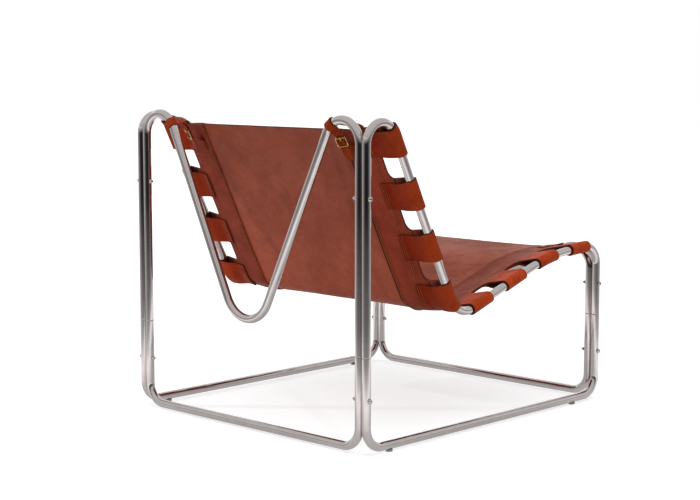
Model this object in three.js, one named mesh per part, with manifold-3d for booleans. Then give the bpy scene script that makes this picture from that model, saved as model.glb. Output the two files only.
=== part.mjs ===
// Leather sling lounge chair.
//
// Four bent steel tube loops stand side by side in pairs and are bolted together at the
// corners. Each loop is a base and an upper part, joined over hidden spigots. One leather
// sling wraps the two side loops with sewn tabs, and a belt with a buckle at each of its
// corners ties it to the rear loop and the front loop.
//
// Units are millimetres and +Z is up. The sitter faces -Y. The origin is on the floor
// under the middle of the chair.

import * as THREE from 'three';
import { mergeVertices } from 'three/addons/utils/BufferGeometryUtils.js';
import Module from 'manifold-3d';

// Tube and fits
const tubeDiameter = 20;
const tubeWall = 2;
const seatingGap = 0.3;
const overrun = 2;

// Frame, measured between tube centrelines. Heights count from the floor rail's centreline.
const frameWidth = 713;
const frameDepth = 841;
const seamHeight = 202;
const baseBendRadius = 48;
const topBendRadius = 52;
const rearLoop = { rise: 710, vertexHeight: 245, vertexRadius: 75 };
const frontLoop = { rise: 370, vertexHeight: 252, vertexRadius: 75 };
const sideLoop = {
  belowRearLoop: 5, topBendRadius: 46.5,
  seatBendSetback: 334, seatBendHeight: 267.5, seatBendRadius: 66,
  crownFromFront: 195, crownDrop: 9, crownRadius: 600,
  aboveFrontLoop: 7, frontBendRadius: 48,
};

// Spigots, bolts, nuts and glides
const spigotLength = 80;
const bolt = { diameter: 6, holeDiameter: 6.6, headDiameter: 12, headHeight: 5 };
const nut = { diameter: 10.5, collarHeight: 3, domeHeight: 3.5, threadDepth: 4.5 };
const lowerBoltHeight = 109;
const upperBoltShare = { rear: 0.728, front: 0.5 };
const glide = { diameter: 16, height: 4, stemDiameter: 6, stemLength: 7 };
const glideSetback = { rear: 73, front: 95 };

// Sling. Each row of tabs starts before one bend of the side loop ends, and runs on past the
// start of the next bend.
const leather = 3.6;
const bandThickness = 2.5;
const wrapClearance = 0.6;
const cutOutInset = 60;
const tabOverlap = 24;
const bandWidth = 86;
const tabLength = 71;
const backTabs = { lead: 20, overrun: 31, count: 4 };
const seatTabs = { lead: 6.5, overrun: 7, count: 4 };
const sag = { run: 12, fold: 8, foldReach: 200, flatness: 8 };

// Belts and buckles
const belt = {
  width: 20, thickness: 2, inset: 109, sewnLength: 45, edgeRise: 3,
  tubeClearance: 2.1, lead: 4, tailLength: 40,
};
const buckle = {
  width: 27, length: 24, bar: 2.6, topBar: 4.2, cornerRadius: 3,
  notchWidth: 4, inset: { rear: 10, front: 4 }, standoff: 38, drop: 12, yawDegrees: 22,
};
const prong = { thickness: 2.4, eyeWall: 1.1, eyeClearance: 0.2, slotClearance: 0.5, tipOverhang: 1 };
const chape = { thickness: 1.2, sewnLength: 26, returnLength: 9 };

// Facets
const tubeSides = 12;
const boreSides = 8;
const roundSides = 12;
const bendStep = THREE.MathUtils.degToRad(18);
const slingBendStep = THREE.MathUtils.degToRad(15);
const strapBendStep = THREE.MathUtils.degToRad(30);
const crownSteps = 5;
const wrapSteps = 5;

const tubeRadius = tubeDiameter / 2;
const boreRadius = tubeRadius - tubeWall;
const halfWidth = frameWidth / 2;
const halfDepth = frameDepth / 2;
const sideX = halfWidth + tubeDiameter + seatingGap;
const railHeight = glide.height + tubeRadius + seatingGap;
const rearBoltHeight = upperBoltHeight(rearLoop, upperBoltShare.rear);
const frontBoltHeight = upperBoltHeight(frontLoop, upperBoltShare.front);

// The upper bolts stand between the spigots' upper ends and the top bends.
function upperBoltHeight(loop, share) {
  return THREE.MathUtils.lerp(seamHeight + spigotLength / 2, loop.rise - topBendRadius, share);
}

const chrome = { color: 0xc8c8cc, roughness: 0.15, metalness: 1 };
const steel = { color: 0x8c8c90, roughness: 0.4, metalness: 1 };
const brass = { color: 0xb59a5a, roughness: 0.3, metalness: 1 };
const blackPlastic = { color: 0x202020, roughness: 0.6, metalness: 0 };
const slingLeather = { color: 0x7d4130, roughness: 0.55, metalness: 0 };
const beltLeather = { color: 0xa4481c, roughness: 0.5, metalness: 0 };

const wasm = await Module();
wasm.setup();

const chair = new THREE.Group();

// Adds a named piece with its own material to a group.
function addPiece(group, name, geometry, finish) {
  const mesh = new THREE.Mesh(geometry, new THREE.MeshStandardMaterial(finish));
  mesh.name = name;
  group.add(mesh);
  return mesh;
}

// Solids for cutting and joining

function toSolid(geometry) {
  const bare = geometry.index ? geometry.toNonIndexed() : geometry.clone();
  bare.deleteAttribute('normal');
  bare.deleteAttribute('uv');
  const merged = mergeVertices(bare);
  return new wasm.Manifold(new wasm.Mesh({
    numProp: 3,
    vertProperties: new Float32Array(merged.attributes.position.array),
    triVerts: new Uint32Array(merged.index.array),
  }));
}

function toGeometry(solid) {
  const mesh = solid.getMesh();
  const geometry = new THREE.BufferGeometry();
  geometry.setAttribute('position', new THREE.BufferAttribute(mesh.vertProperties, 3));
  geometry.setIndex(new THREE.BufferAttribute(mesh.triVerts, 1));
  return geometry;
}

function cut(geometry, tools) {
  return toGeometry(tools.reduce((solid, tool) => solid.subtract(toSolid(tool)), toSolid(geometry)));
}

function join(geometries) {
  return toGeometry(geometries.map(toSolid).reduce((solid, part) => solid.add(part)));
}

// A cylinder along X, Y or Z, centred on a point.
function rod(radius, length, sides, axis, centre) {
  const geometry = new THREE.CylinderGeometry(radius, radius, length, sides);
  geometry.applyQuaternion(new THREE.Quaternion().setFromUnitVectors(new THREE.Vector3(0, 1, 0), axis));
  return geometry.translate(centre.x, centre.y, centre.z);
}

// A cutting rod whose flats stand outside the diameter that it clears.
function drill(diameter, length, axis, centre) {
  const radius = diameter / 2 / Math.cos(Math.PI / roundSides);
  return rod(radius, length, roundSides, axis, centre);
}

const alongX = new THREE.Vector3(1, 0, 0);
const alongY = new THREE.Vector3(0, 1, 0);
const alongZ = new THREE.Vector3(0, 0, 1);

// Bent centrelines

// The centreline of a bent tube in its own plane: straight runs that meet each bend circle
// at a tangent. turn is 1 for a left-hand bend, -1 for a right-hand bend and 0 for an end.
class BentLine {
  constructor(bends) {
    this.pieces = [];
    this.length = 0;
    const headings = bends.slice(1).map((bend, i) => runHeading(bends[i], bend));
    let from = bends[0].centre;
    bends.slice(1).forEach((bend, i) => {
      const heading = headings[i];
      const touch = tangentPoint(bend, heading);
      this.addPiece({ from, heading, turn: 0, length: from.distanceTo(touch) });
      if (bend.turn === 0) return;
      const sweep = sweepBetween(heading, headings[i + 1], bend.turn);
      this.addPiece({ from: touch, heading, sweep, ...bend, length: sweep * bend.radius });
      from = tangentPoint(bend, headings[i + 1]);
    });
  }

  addPiece(piece) {
    this.pieces.push({ ...piece, start: this.length });
    this.length += piece.length;
  }

  // The point and heading at a distance along the line.
  at(distance) {
    const piece = this.pieces.findLast((p) => p.start <= distance) ?? this.pieces[0];
    const run = distance - piece.start;
    if (piece.turn === 0) {
      return { point: piece.from.clone().addScaledVector(headingVector(piece.heading), run), heading: piece.heading };
    }
    const heading = piece.heading + piece.turn * run / piece.radius;
    return { point: tangentPoint(piece, heading), heading };
  }

  // Distances of the ends of every run, with each bend divided into equal steps.
  stations(step, from = 0) {
    const list = [from, this.length];
    for (const piece of this.pieces) {
      const steps = piece.turn === 0 ? 1 : piece.steps ?? Math.ceil(piece.sweep / step);
      for (let k = 0; k <= steps; k += 1) list.push(piece.start + piece.length * k / steps);
    }
    return spaced(list.filter((d) => d >= from && d <= this.length));
  }
}

// Sorts distances and drops the ones that all but repeat their neighbour.
function spaced(list) {
  const sorted = [...list].sort((a, b) => a - b);
  return sorted.filter((d, i) => i === 0 || d - sorted[i - 1] > seatingGap);
}

function headingVector(heading) {
  return new THREE.Vector2(Math.cos(heading), Math.sin(heading));
}

function leftOf(heading) {
  return new THREE.Vector2(-Math.sin(heading), Math.cos(heading));
}

// Where a line with this heading touches the bend circle, which keeps it on its turning side.
function tangentPoint(bend, heading) {
  return bend.centre.clone().addScaledVector(leftOf(heading), -bend.turn * bend.radius);
}

// The heading of the straight run that leaves one bend circle and meets the next.
function runHeading(from, to) {
  const gap = to.centre.clone().sub(from.centre);
  const offset = to.turn * to.radius - from.turn * from.radius;
  return gap.angle() - Math.asin(offset / gap.length());
}

// The angle, never negative, that a bend turns through from one heading to another.
function sweepBetween(from, to, turn) {
  return THREE.MathUtils.euclideanModulo(turn * (to - from), 2 * Math.PI);
}

function endPoint(across, up) {
  return { centre: new THREE.Vector2(across, up), radius: 0, turn: 0 };
}

function bendAt(across, up, radius, turn) {
  return { centre: new THREE.Vector2(across, up), radius, turn };
}

// A bend that rounds the corner at a point between two other bends.
function roundedCorner(before, corner, after, radius, turn) {
  const point = { centre: corner, radius: 0, turn: 0 };
  const heading = runHeading(before, point);
  const half = sweepBetween(heading, runHeading(point, after), turn) / 2;
  const centre = corner.clone().addScaledVector(leftOf(heading + turn * half), turn * radius / Math.cos(half));
  return { centre, radius, turn };
}

// A base loses its two upright ends at the seam and keeps the floor rail.
function baseLine(span) {
  const half = span / 2;
  const corner = half - baseBendRadius;
  return new BentLine([
    endPoint(-half, seamHeight),
    bendAt(-corner, baseBendRadius, baseBendRadius, 1),
    bendAt(corner, baseBendRadius, baseBendRadius, 1),
    endPoint(half, seamHeight),
  ]);
}

// The rear and front loops turn down between their two tops to a low middle.
function endLoopLine(loop) {
  const top = halfWidth - topBendRadius;
  return new BentLine([
    endPoint(-halfWidth, seamHeight),
    bendAt(-top, loop.rise - topBendRadius, topBendRadius, -1),
    bendAt(0, loop.vertexHeight + loop.vertexRadius, loop.vertexRadius, 1),
    bendAt(top, loop.rise - topBendRadius, topBendRadius, -1),
    endPoint(halfWidth, seamHeight),
  ]);
}

// The side loop starts at its rear upright and runs over the top, down the back, round the
// seat bend and along the seat to its front upright.
function sideLoopLine() {
  const topRadius = sideLoop.topBendRadius;
  const rise = rearLoop.rise - sideLoop.belowRearLoop;
  const frontHeight = frontLoop.rise + sideLoop.aboveFrontLoop;
  const top = bendAt(-halfDepth + topRadius, rise - topRadius, topRadius, -1);
  const seat = bendAt(
    -halfDepth + sideLoop.seatBendSetback, sideLoop.seatBendHeight + sideLoop.seatBendRadius,
    sideLoop.seatBendRadius, 1);
  const front = bendAt(
    halfDepth - sideLoop.frontBendRadius, frontHeight - sideLoop.frontBendRadius,
    sideLoop.frontBendRadius, -1);
  const corner = new THREE.Vector2(halfDepth - sideLoop.crownFromFront, frontHeight - sideLoop.crownDrop);
  const crown = roundedCorner(seat, corner, front, sideLoop.crownRadius, -1);
  crown.steps = crownSteps;
  return new BentLine([
    endPoint(-halfDepth, seamHeight), top, seat, crown, front, endPoint(halfDepth, seamHeight),
  ]);
}

// Tubes

// A path through the line's stations, so that a swept tube has its rings exactly there.
class StationPath extends THREE.Curve {
  constructor(line) {
    super();
    this.line = line;
    this.list = line.stations(bendStep);
  }

  get steps() {
    return this.list.length - 1;
  }

  distance(t) {
    return this.list[Math.round(t * this.steps)];
  }

  getPointAt(t, target = new THREE.Vector3()) {
    const { point } = this.line.at(this.distance(t));
    return target.set(point.x, 0, point.y);
  }

  getTangentAt(t, target = new THREE.Vector3()) {
    const direction = headingVector(this.line.at(this.distance(t)).heading);
    return target.set(direction.x, 0, direction.y);
  }
}

function circlePoints(radius, sides) {
  return Array.from({ length: sides }, (_, i) => {
    const angle = 2 * Math.PI * (i + 1 / 2) / sides;
    return new THREE.Vector2(radius * Math.cos(angle), radius * Math.sin(angle));
  });
}

function tubeAlong(line) {
  const wall = new THREE.Shape(circlePoints(tubeRadius, tubeSides));
  wall.holes.push(new THREE.Path(circlePoints(boreRadius, boreSides)));
  const path = new StationPath(line);
  return new THREE.ExtrudeGeometry(wall, { steps: path.steps, extrudePath: path });
}

// Drills through both walls of the uprights, along or across the loop's plane.
function drillings(span, height, across) {
  const axis = across ? alongY : alongX;
  return [-span / 2, span / 2].map((x) => drill(
    bolt.holeDiameter, tubeDiameter + overrun, axis, new THREE.Vector3(x, 0, height)));
}

function glideDrilling(x) {
  return drill(
    glide.stemDiameter + 2 * seatingGap, tubeRadius, alongZ, new THREE.Vector3(x, 0, -tubeRadius));
}

// Where the line, drawn upwards from the floor rail, stands in a loop's own plane. The side
// loops' plane runs front to back, so their rear is at the negative end.
const loops = [
  { name: 'rear_frame', span: frameWidth, upper: endLoopLine(rearLoop), turn: 0, x: 0, y: halfDepth },
  { name: 'front_frame', span: frameWidth, upper: endLoopLine(frontLoop), turn: 0, x: 0, y: -halfDepth },
  { name: 'right_frame', span: frameDepth, upper: sideLoopLine(), turn: -Math.PI / 2, x: -sideX, y: 0 },
  { name: 'left_frame', span: frameDepth, upper: sideLoopLine(), turn: -Math.PI / 2, x: sideX, y: 0 },
];

function upperDrillings(loop) {
  if (loop.name === 'rear_frame') return drillings(loop.span, rearBoltHeight, false);
  if (loop.name === 'front_frame') return drillings(loop.span, frontBoltHeight, false);
  const [rear] = drillings(loop.span, rearBoltHeight, true);
  const [, front] = drillings(loop.span, frontBoltHeight, true);
  return [rear, front];
}

function buildLoop(loop) {
  const group = new THREE.Group();
  group.position.set(loop.x, loop.y, railHeight);
  group.rotation.z = loop.turn;
  chair.add(group);

  const isSide = loop.x !== 0;
  const baseTools = drillings(loop.span, lowerBoltHeight, isSide);
  if (isSide) {
    baseTools.push(glideDrilling(-loop.span / 2 + glideSetback.rear));
    baseTools.push(glideDrilling(loop.span / 2 - glideSetback.front));
  }
  addPiece(group, `${loop.name}_base`, cut(tubeAlong(baseLine(loop.span)), baseTools), chrome);

  const upper = addPiece(group, `${loop.name}_upper`, cut(tubeAlong(loop.upper), upperDrillings(loop)), chrome);
  upper.position.z = seatingGap;

  const spigotRadius = boreRadius * Math.cos(Math.PI / boreSides) - seatingGap;
  ['a', 'b'].forEach((end, i) => {
    const spigot = new THREE.CylinderGeometry(spigotRadius, spigotRadius, spigotLength, boreSides);
    spigot.rotateX(Math.PI / 2);
    const piece = addPiece(group, `${loop.name}_spigot_${end}`, spigot, steel);
    piece.position.set((i - 1 / 2) * loop.span, 0, seamHeight);
  });
}

// Bolts and cap nuts, turned on a lathe along +X from the face that seats on the tube

function boltGeometry(gripLength) {
  const { diameter, headDiameter, headHeight } = bolt;
  const rim = headHeight / 3;
  const profile = [
    [0, -gripLength], [diameter / 2, -gripLength], [diameter / 2, 0], [headDiameter / 2, 0],
    [headDiameter / 2, rim],
  ];
  const domeSteps = 3;
  for (let k = 1; k <= domeSteps; k += 1) {
    const angle = k / domeSteps * Math.PI / 2;
    profile.push([headDiameter / 2 * Math.cos(angle), rim + (headHeight - rim) * Math.sin(angle)]);
  }
  return turned(profile);
}

function nutGeometry() {
  const { diameter, collarHeight, domeHeight, threadDepth } = nut;
  const bore = bolt.diameter / 2 + seatingGap;
  const profile = [[0, threadDepth], [bore, threadDepth], [bore, 0], [diameter / 2, 0], [diameter / 2, collarHeight]];
  const domeSteps = 3;
  const neck = bore + (diameter / 2 - bore) / 2;
  for (let k = 0; k <= domeSteps; k += 1) {
    const angle = k / domeSteps * Math.PI / 2;
    profile.push([neck * Math.cos(angle), collarHeight + domeHeight * Math.sin(angle)]);
  }
  return turned(profile);
}

// A turned piece whose axis is X.
function turned(profile) {
  const points = profile.map(([radius, along]) => new THREE.Vector2(Math.max(radius, 0), along));
  points[0].x = 0;
  points[points.length - 1].x = 0;
  return new THREE.LatheGeometry(points, roundSides).rotateZ(-Math.PI / 2);
}

function buildCornerBolt(name, side, y, height) {
  const group = new THREE.Group();
  group.position.set(0, y, railHeight + height);
  group.rotation.z = side < 0 ? Math.PI : 0;
  chair.add(group);
  const outerFace = sideX + tubeRadius + seatingGap;
  const innerFace = halfWidth - tubeRadius - seatingGap;
  const threadEnd = innerFace - nut.threadDepth + seatingGap;
  addPiece(group, `bolt_${name}`, boltGeometry(outerFace - threadEnd), chrome).position.x = outerFace;
  const capNut = addPiece(group, `cap_nut_${name}`, nutGeometry(), chrome);
  capNut.position.x = innerFace;
  capNut.rotation.z = Math.PI;
}

function buildGlide(name, x, y) {
  const foot = [
    [0, 0], [glide.diameter / 2 - glide.height / 4, 0], [glide.diameter / 2, glide.height / 4],
    [glide.diameter / 2, glide.height + tubeRadius], [glide.stemDiameter / 2, glide.height + tubeRadius],
    [0, glide.height + tubeRadius],
  ].map(([radius, up]) => new THREE.Vector2(radius, up));
  const body = new THREE.LatheGeometry(foot, roundSides).rotateX(Math.PI / 2);
  const saddle = drill(
    tubeDiameter + 2 * seatingGap, glide.diameter + overrun, alongY, new THREE.Vector3(0, 0, railHeight));
  const topTrim = new THREE.BoxGeometry(glide.diameter + overrun, glide.diameter + overrun, tubeRadius);
  topTrim.translate(0, 0, glide.height + tubeWall + tubeRadius / 2);
  const stem = rod(
    glide.stemDiameter / 2, glide.stemLength, roundSides, alongZ,
    new THREE.Vector3(0, 0, glide.height + glide.stemLength / 2 - seatingGap));
  const piece = addPiece(chair, `glide_${name}`, join([cut(body, [saddle, topTrim]), stem]), blackPlastic);
  piece.position.set(x, y, 0);
}

// Sling

const slingLine = sideLoopLine();
const sheetHalf = leather / 2;
const sheetEdge = sideX - cutOutInset;
const bandInnerEdge = sheetEdge - bandWidth;
const panelColumns = [0, bandInnerEdge / 2, bandInnerEdge, sheetEdge];
const [topBend, seatBend, , frontBend] = slingLine.pieces.filter((piece) => piece.turn !== 0);
const backRow = tabRow(backTabs, topBend, seatBend);
const seatRow = tabRow(seatTabs, seatBend, frontBend);
const tabEdges = [...backRow, ...seatRow];
const slingEnds = [tabEdges[0][0], tabEdges[tabEdges.length - 1][1]];
const fold = (backRow[backRow.length - 1][1] + seatRow[0][0]) / 2;

// Both edges of each tab in a row that is spread evenly from one bend to the next.
function tabRow(row, before, after) {
  const from = before.start + before.length - row.lead;
  const pitch = (after.start + row.overrun - tabLength - from) / (row.count - 1);
  return Array.from({ length: row.count }, (_, i) => [from + i * pitch, from + i * pitch + tabLength]);
}

// Distances of the sling's rows: the tab edges, and the steps of the bends that it follows.
function slingRows() {
  const rows = [...slingEnds, ...tabEdges.flat()];
  for (const piece of slingLine.pieces) {
    if (piece.turn === 0) continue;
    const steps = piece.steps ?? Math.ceil(piece.sweep / slingBendStep);
    for (let k = 0; k <= steps; k += 1) rows.push(piece.start + piece.length * k / steps);
  }
  const inside = rows.filter((d) => d >= slingEnds[0] && d <= slingEnds[1]);
  const fixed = new Set([...slingEnds, ...tabEdges.flat()]);
  return spacedAround(inside, fixed, 2 * leather);
}

// Drops rows that crowd a tab's edge, and keeps the edges themselves.
function spacedAround(list, fixed, room) {
  const sorted = [...new Set(list)].sort((a, b) => a - b);
  return sorted.filter((d) => fixed.has(d) || ![...fixed].some((edge) => Math.abs(edge - d) < room));
}

// How far the sheet hangs behind the middle of the side tubes. It is pulled up at the fold.
// Across the chair it hangs flat and rises near the tubes, in facets between the columns.
function sagAt(distance, x) {
  const runShare = THREE.MathUtils.smoothstep(Math.abs(distance - fold), 0, sag.foldReach);
  const depth = THREE.MathUtils.lerp(sag.fold, sag.run, runShare);
  const outer = Math.max(panelColumns.findIndex((column) => column >= Math.abs(x)), 1);
  const [inside, outside] = panelColumns.slice(outer - 1, outer + 1);
  const shares = [inside, outside].map((column) => 1 - (column / sheetEdge) ** sag.flatness);
  return depth * THREE.MathUtils.mapLinear(Math.abs(x), inside, outside, ...shares);
}

// A point of the sheet's own cross-section, carried to its place in the chair. lift is
// towards the sitter.
function slingPoint(distance, x, lift) {
  const { point, heading } = slingLine.at(distance);
  const up = leftOf(heading);
  return new THREE.Vector3(x, -(point.x + up.x * lift), railHeight + seatingGap + point.y + up.y * lift);
}

function slingNormal(distance, across, lift) {
  const up = leftOf(slingLine.at(distance).heading);
  return new THREE.Vector3(across, -up.x * lift, up.y * lift).normalize();
}

// Half of the sheet's cross-section, from the middle out to a tab's sewn end.
function halfSection() {
  const section = panelColumns.map((x) => ({ x, lift: 0, normal: [0, 1], onPanel: true }));
  const wrapRadius = tubeRadius + wrapClearance + sheetHalf;
  const lean = Math.asin(wrapRadius / cutOutInset);
  const sweep = Math.PI + 2 * lean;
  const cornerRadius = wrapRadius / Math.cos(sweep / wrapSteps / 2);
  for (let k = 0; k <= wrapSteps; k += 1) {
    const angle = sweep / 2 - sweep * k / wrapSteps;
    section.push({
      x: sideX + cornerRadius * Math.cos(angle), lift: cornerRadius * Math.sin(angle),
      normal: [Math.cos(angle), Math.sin(angle)],
    });
  }
  const overBand = -(leather + bandThickness + 3 * seatingGap);
  section.push({ x: sheetEdge, lift: overBand, normal: [0, -1] });
  section.push({ x: sheetEdge - tabOverlap, lift: overBand, normal: [0, -1], isLapped: true });
  return section;
}

// The whole cross-section from one tab's end to the other, left to right.
function wholeSection() {
  const half = halfSection();
  const mirrored = half.slice(1).reverse().map((p) => ({ ...p, x: -p.x, normal: [-p.normal[0], p.normal[1]] }));
  return [...mirrored, ...half];
}

// A closed solid of even thickness about a grid of points. Cells that has() leaves out are
// open, and every open edge gets a wall.
function thickSheet(grid, normals, half, has) {
  const rows = grid.length;
  const columns = grid[0].length;
  const positions = [];
  const triangles = [];
  for (const sign of [1, -1]) {
    grid.forEach((row, i) => row.forEach((point, j) => {
      positions.push(...point.clone().addScaledVector(normals[i][j], sign * half).toArray());
    }));
  }
  const front = (i, j) => i * columns + j;
  const back = (i, j) => rows * columns + front(i, j);
  const filled = (i, j) => i >= 0 && j >= 0 && i < rows - 1 && j < columns - 1 && has(i, j);
  const quad = (a, b, c, d) => triangles.push(a, b, c, a, c, d);
  for (let i = 0; i < rows - 1; i += 1) {
    for (let j = 0; j < columns - 1; j += 1) {
      if (!filled(i, j)) continue;
      quad(front(i, j), front(i, j + 1), front(i + 1, j + 1), front(i + 1, j));
      quad(back(i, j), back(i + 1, j), back(i + 1, j + 1), back(i, j + 1));
      if (!filled(i - 1, j)) quad(front(i, j), back(i, j), back(i, j + 1), front(i, j + 1));
      if (!filled(i + 1, j)) quad(front(i + 1, j + 1), back(i + 1, j + 1), back(i + 1, j), front(i + 1, j));
      if (!filled(i, j - 1)) quad(front(i + 1, j), back(i + 1, j), back(i, j), front(i, j));
      if (!filled(i, j + 1)) quad(front(i, j + 1), back(i, j + 1), back(i + 1, j + 1), front(i + 1, j + 1));
    }
  }
  return closedGeometry(positions, triangles);
}

// Turns the faces outwards if they point in, and drops points that no face uses.
function closedGeometry(positions, triangles) {
  const corner = (i) => new THREE.Vector3().fromArray(positions, 3 * i);
  let volume = 0;
  for (let k = 0; k < triangles.length; k += 3) {
    const [a, b, c] = triangles.slice(k, k + 3).map(corner);
    volume += a.dot(b.cross(c));
  }
  if (volume < 0) triangles.reverse();
  const geometry = new THREE.BufferGeometry();
  geometry.setAttribute('position', new THREE.Float32BufferAttribute(triangles.flatMap((i) => corner(i).toArray()), 3));
  return mergeVertices(geometry);
}

function inTab(from, to) {
  const middle = (from + to) / 2;
  return tabEdges.some(([start, end]) => middle > start && middle < end);
}

function buildSling() {
  const rows = slingRows();
  const section = wholeSection();
  const place = (d, p) => slingPoint(d, p.x, p.lift - (p.onPanel || p.isLapped ? sagAt(d, p.x) : 0));
  const grid = rows.map((d) => section.map((p) => place(d, p)));
  const normals = rows.map((d) => section.map((p) => slingNormal(d, ...p.normal)));
  const has = (i, j) => inTab(rows[i], rows[i + 1]) || (section[j].onPanel && section[j + 1].onPanel);
  addPiece(chair, 'sling', thickSheet(grid, normals, sheetHalf, has), slingLeather);

  const bandLift = -(sheetHalf + seatingGap + bandThickness / 2);
  for (const [name, across] of [['right', [-sheetEdge, -bandInnerEdge]], ['left', [bandInnerEdge, sheetEdge]]]) {
    const bandGrid = rows.map((d) => across.map((x) => slingPoint(d, x, bandLift - sagAt(d, x))));
    const bandNormals = rows.map((d) => across.map(() => slingNormal(d, 0, 1)));
    const band = thickSheet(bandGrid, bandNormals, bandThickness / 2, () => true);
    addPiece(chair, `sling_band_${name}`, band, slingLeather);
  }
}

// Belts

// A flat strip through stations that each give a point and the direction of the strip's
// width. It keeps its thickness round every corner.
function strip(stations, width, thickness) {
  const grid = [];
  const normals = [];
  stations.forEach(({ point, across }, i) => {
    const before = stations[Math.max(i - 1, 0)].point;
    const after = stations[Math.min(i + 1, stations.length - 1)].point;
    const into = point.clone().sub(before).normalize();
    const out = after.clone().sub(point).normalize();
    const tangent = into.clone().add(out).normalize();
    const side = across.clone().addScaledVector(tangent, -across.dot(tangent)).normalize();
    const normal = tangent.clone().cross(side);
    const bend = into.lengthSq() * out.lengthSq() > 0 ? Math.sqrt((1 + into.dot(out)) / 2) : 1;
    grid.push([-1, 1].map((s) => point.clone().addScaledVector(side, s * width / 2)));
    normals.push([normal, normal].map((n) => n.clone().divideScalar(bend)));
  });
  return thickSheet(grid, normals, thickness / 2, () => true);
}

// Where a loop stands at a distance across from the middle, on its way down from the top.
function loopPointAt(line, across) {
  let low = line.pieces[1].start;
  let high = line.length / 2;
  const halvings = 40;
  for (let k = 0; k < halvings; k += 1) {
    const middle = (low + high) / 2;
    if (-line.at(middle).point.x > across) low = middle;
    else high = middle;
  }
  return line.at(low);
}

// The frame of one corner: the sheet's edge and its directions, and the tube that the belt
// goes round. end is 1 at the rear and -1 at the front.
function cornerFrame(side, end) {
  const line = endLoopLine(end > 0 ? rearLoop : frontLoop);
  const { point, heading } = loopPointAt(line, beltX);
  const slope = headingVector(heading);
  const tube = new THREE.Vector3(side * beltX, end * halfDepth, railHeight + seatingGap + point.y);
  const tubeAxis = new THREE.Vector3(side * slope.x, 0, -slope.y).normalize();
  if (tubeAxis.x * side < 0) tubeAxis.negate();
  const edgeDistance = end > 0 ? slingEnds[0] : slingEnds[1];
  const inward = end > 0 ? 1 : -1;
  const onSheet = (down, x, lift) => slingPoint(
    edgeDistance + inward * down, side * x, lift - sagAt(edgeDistance + inward * down, x));
  const rowDepths = slingRows().map((row) => inward * (row - edgeDistance)).sort((a, b) => b - a);
  const buckleX = beltX - (end > 0 ? buckle.inset.rear : buckle.inset.front);
  return { side, end, tube, tubeAxis, onSheet, rowDepths, buckleX, lift: slingNormal(edgeDistance, 0, 1) };
}

// The directions of a corner's buckle: across its bars, down its length and out of its face.
function buckleFrame(corner) {
  const { side, end, onSheet, buckleX } = corner;
  const down = onSheet(belt.sewnLength, buckleX, 0).sub(onSheet(0, buckleX, 0)).normalize();
  const out = corner.lift.clone().negate();
  const yaw = THREE.MathUtils.degToRad(buckle.yawDegrees) * side * end;
  const across = new THREE.Vector3(side, 0, 0).applyAxisAngle(alongZ, -yaw);
  across.addScaledVector(down, -across.dot(down)).normalize();
  out.addScaledVector(down, -out.dot(down)).addScaledVector(across, -out.dot(across)).normalize();
  const centre = onSheet(buckle.drop, buckleX, -buckle.standoff);
  return { centre, across, down, out };
}

const beltX = sideX - belt.inset;
const barSpacing = (buckle.length - buckle.bar) / 2;
const foldRadius = buckle.bar / 2 + prong.eyeClearance + chape.thickness;

// Stations of a strap that lies on the sheet, from its far end up to the sheet's own edge.
// It bends where the sheet bends.
function sewnStations(corner, x, lift, from, to) {
  const inside = corner.rowDepths.filter((down) => down > to + seatingGap && down < from - leather);
  return [from, ...inside, to].map((down) => {
    const [inner, outer] = [-1, 1].map((s) => corner.onSheet(down, x + s * belt.width / 2, lift));
    return { point: inner.clone().lerp(outer, 1 / 2), across: outer.sub(inner) };
  });
}

// Stations of the strap's way round the frame tube, between two points that it pulls to.
function tubeStations(corner, start, end) {
  const { tube, tubeAxis } = corner;
  const toSling = new THREE.Vector3(0, -corner.end, 0);
  const up = tubeAxis.clone().cross(toSling).normalize();
  if (up.z < 0) up.negate();
  const wrapRadius = tubeRadius + belt.tubeClearance + belt.thickness / 2;
  const tangentAngle = (target, sign) => {
    const gap = target.clone().sub(tube);
    const along = gap.dot(toSling);
    const rise = gap.dot(up);
    return Math.atan2(rise, along) + sign * Math.acos(wrapRadius / Math.hypot(along, rise));
  };
  const startAngle = tangentAngle(start, 1);
  const endAngle = tangentAngle(end, -1) + 2 * Math.PI;
  const cornerRadius = wrapRadius / Math.cos((endAngle - startAngle) / wrapSteps / 2);
  return Array.from({ length: wrapSteps + 1 }, (_, k) => {
    const angle = startAngle + (endAngle - startAngle) * k / wrapSteps;
    const point = tube.clone()
      .addScaledVector(toSling, cornerRadius * Math.cos(angle))
      .addScaledVector(up, cornerRadius * Math.sin(angle));
    return { point, across: tubeAxis };
  });
}

// Stations along a line drawn in the buckle's side view: down its length and out of its face.
function buckleStations(frame, line, from) {
  return line.stations(strapBendStep, from).map((distance) => {
    const { point } = line.at(distance);
    return { point: buckleOffset(frame, point.x, point.y), across: frame.across };
  });
}

function buckleOffset(frame, down, out) {
  return frame.centre.clone().addScaledVector(frame.down, down).addScaledVector(frame.out, out);
}

// A point of the chair in the buckle's side view.
function buckleSideView(frame, point) {
  const gap = point.clone().sub(frame.centre);
  return endPoint(gap.dot(frame.down), gap.dot(frame.out));
}

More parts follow.
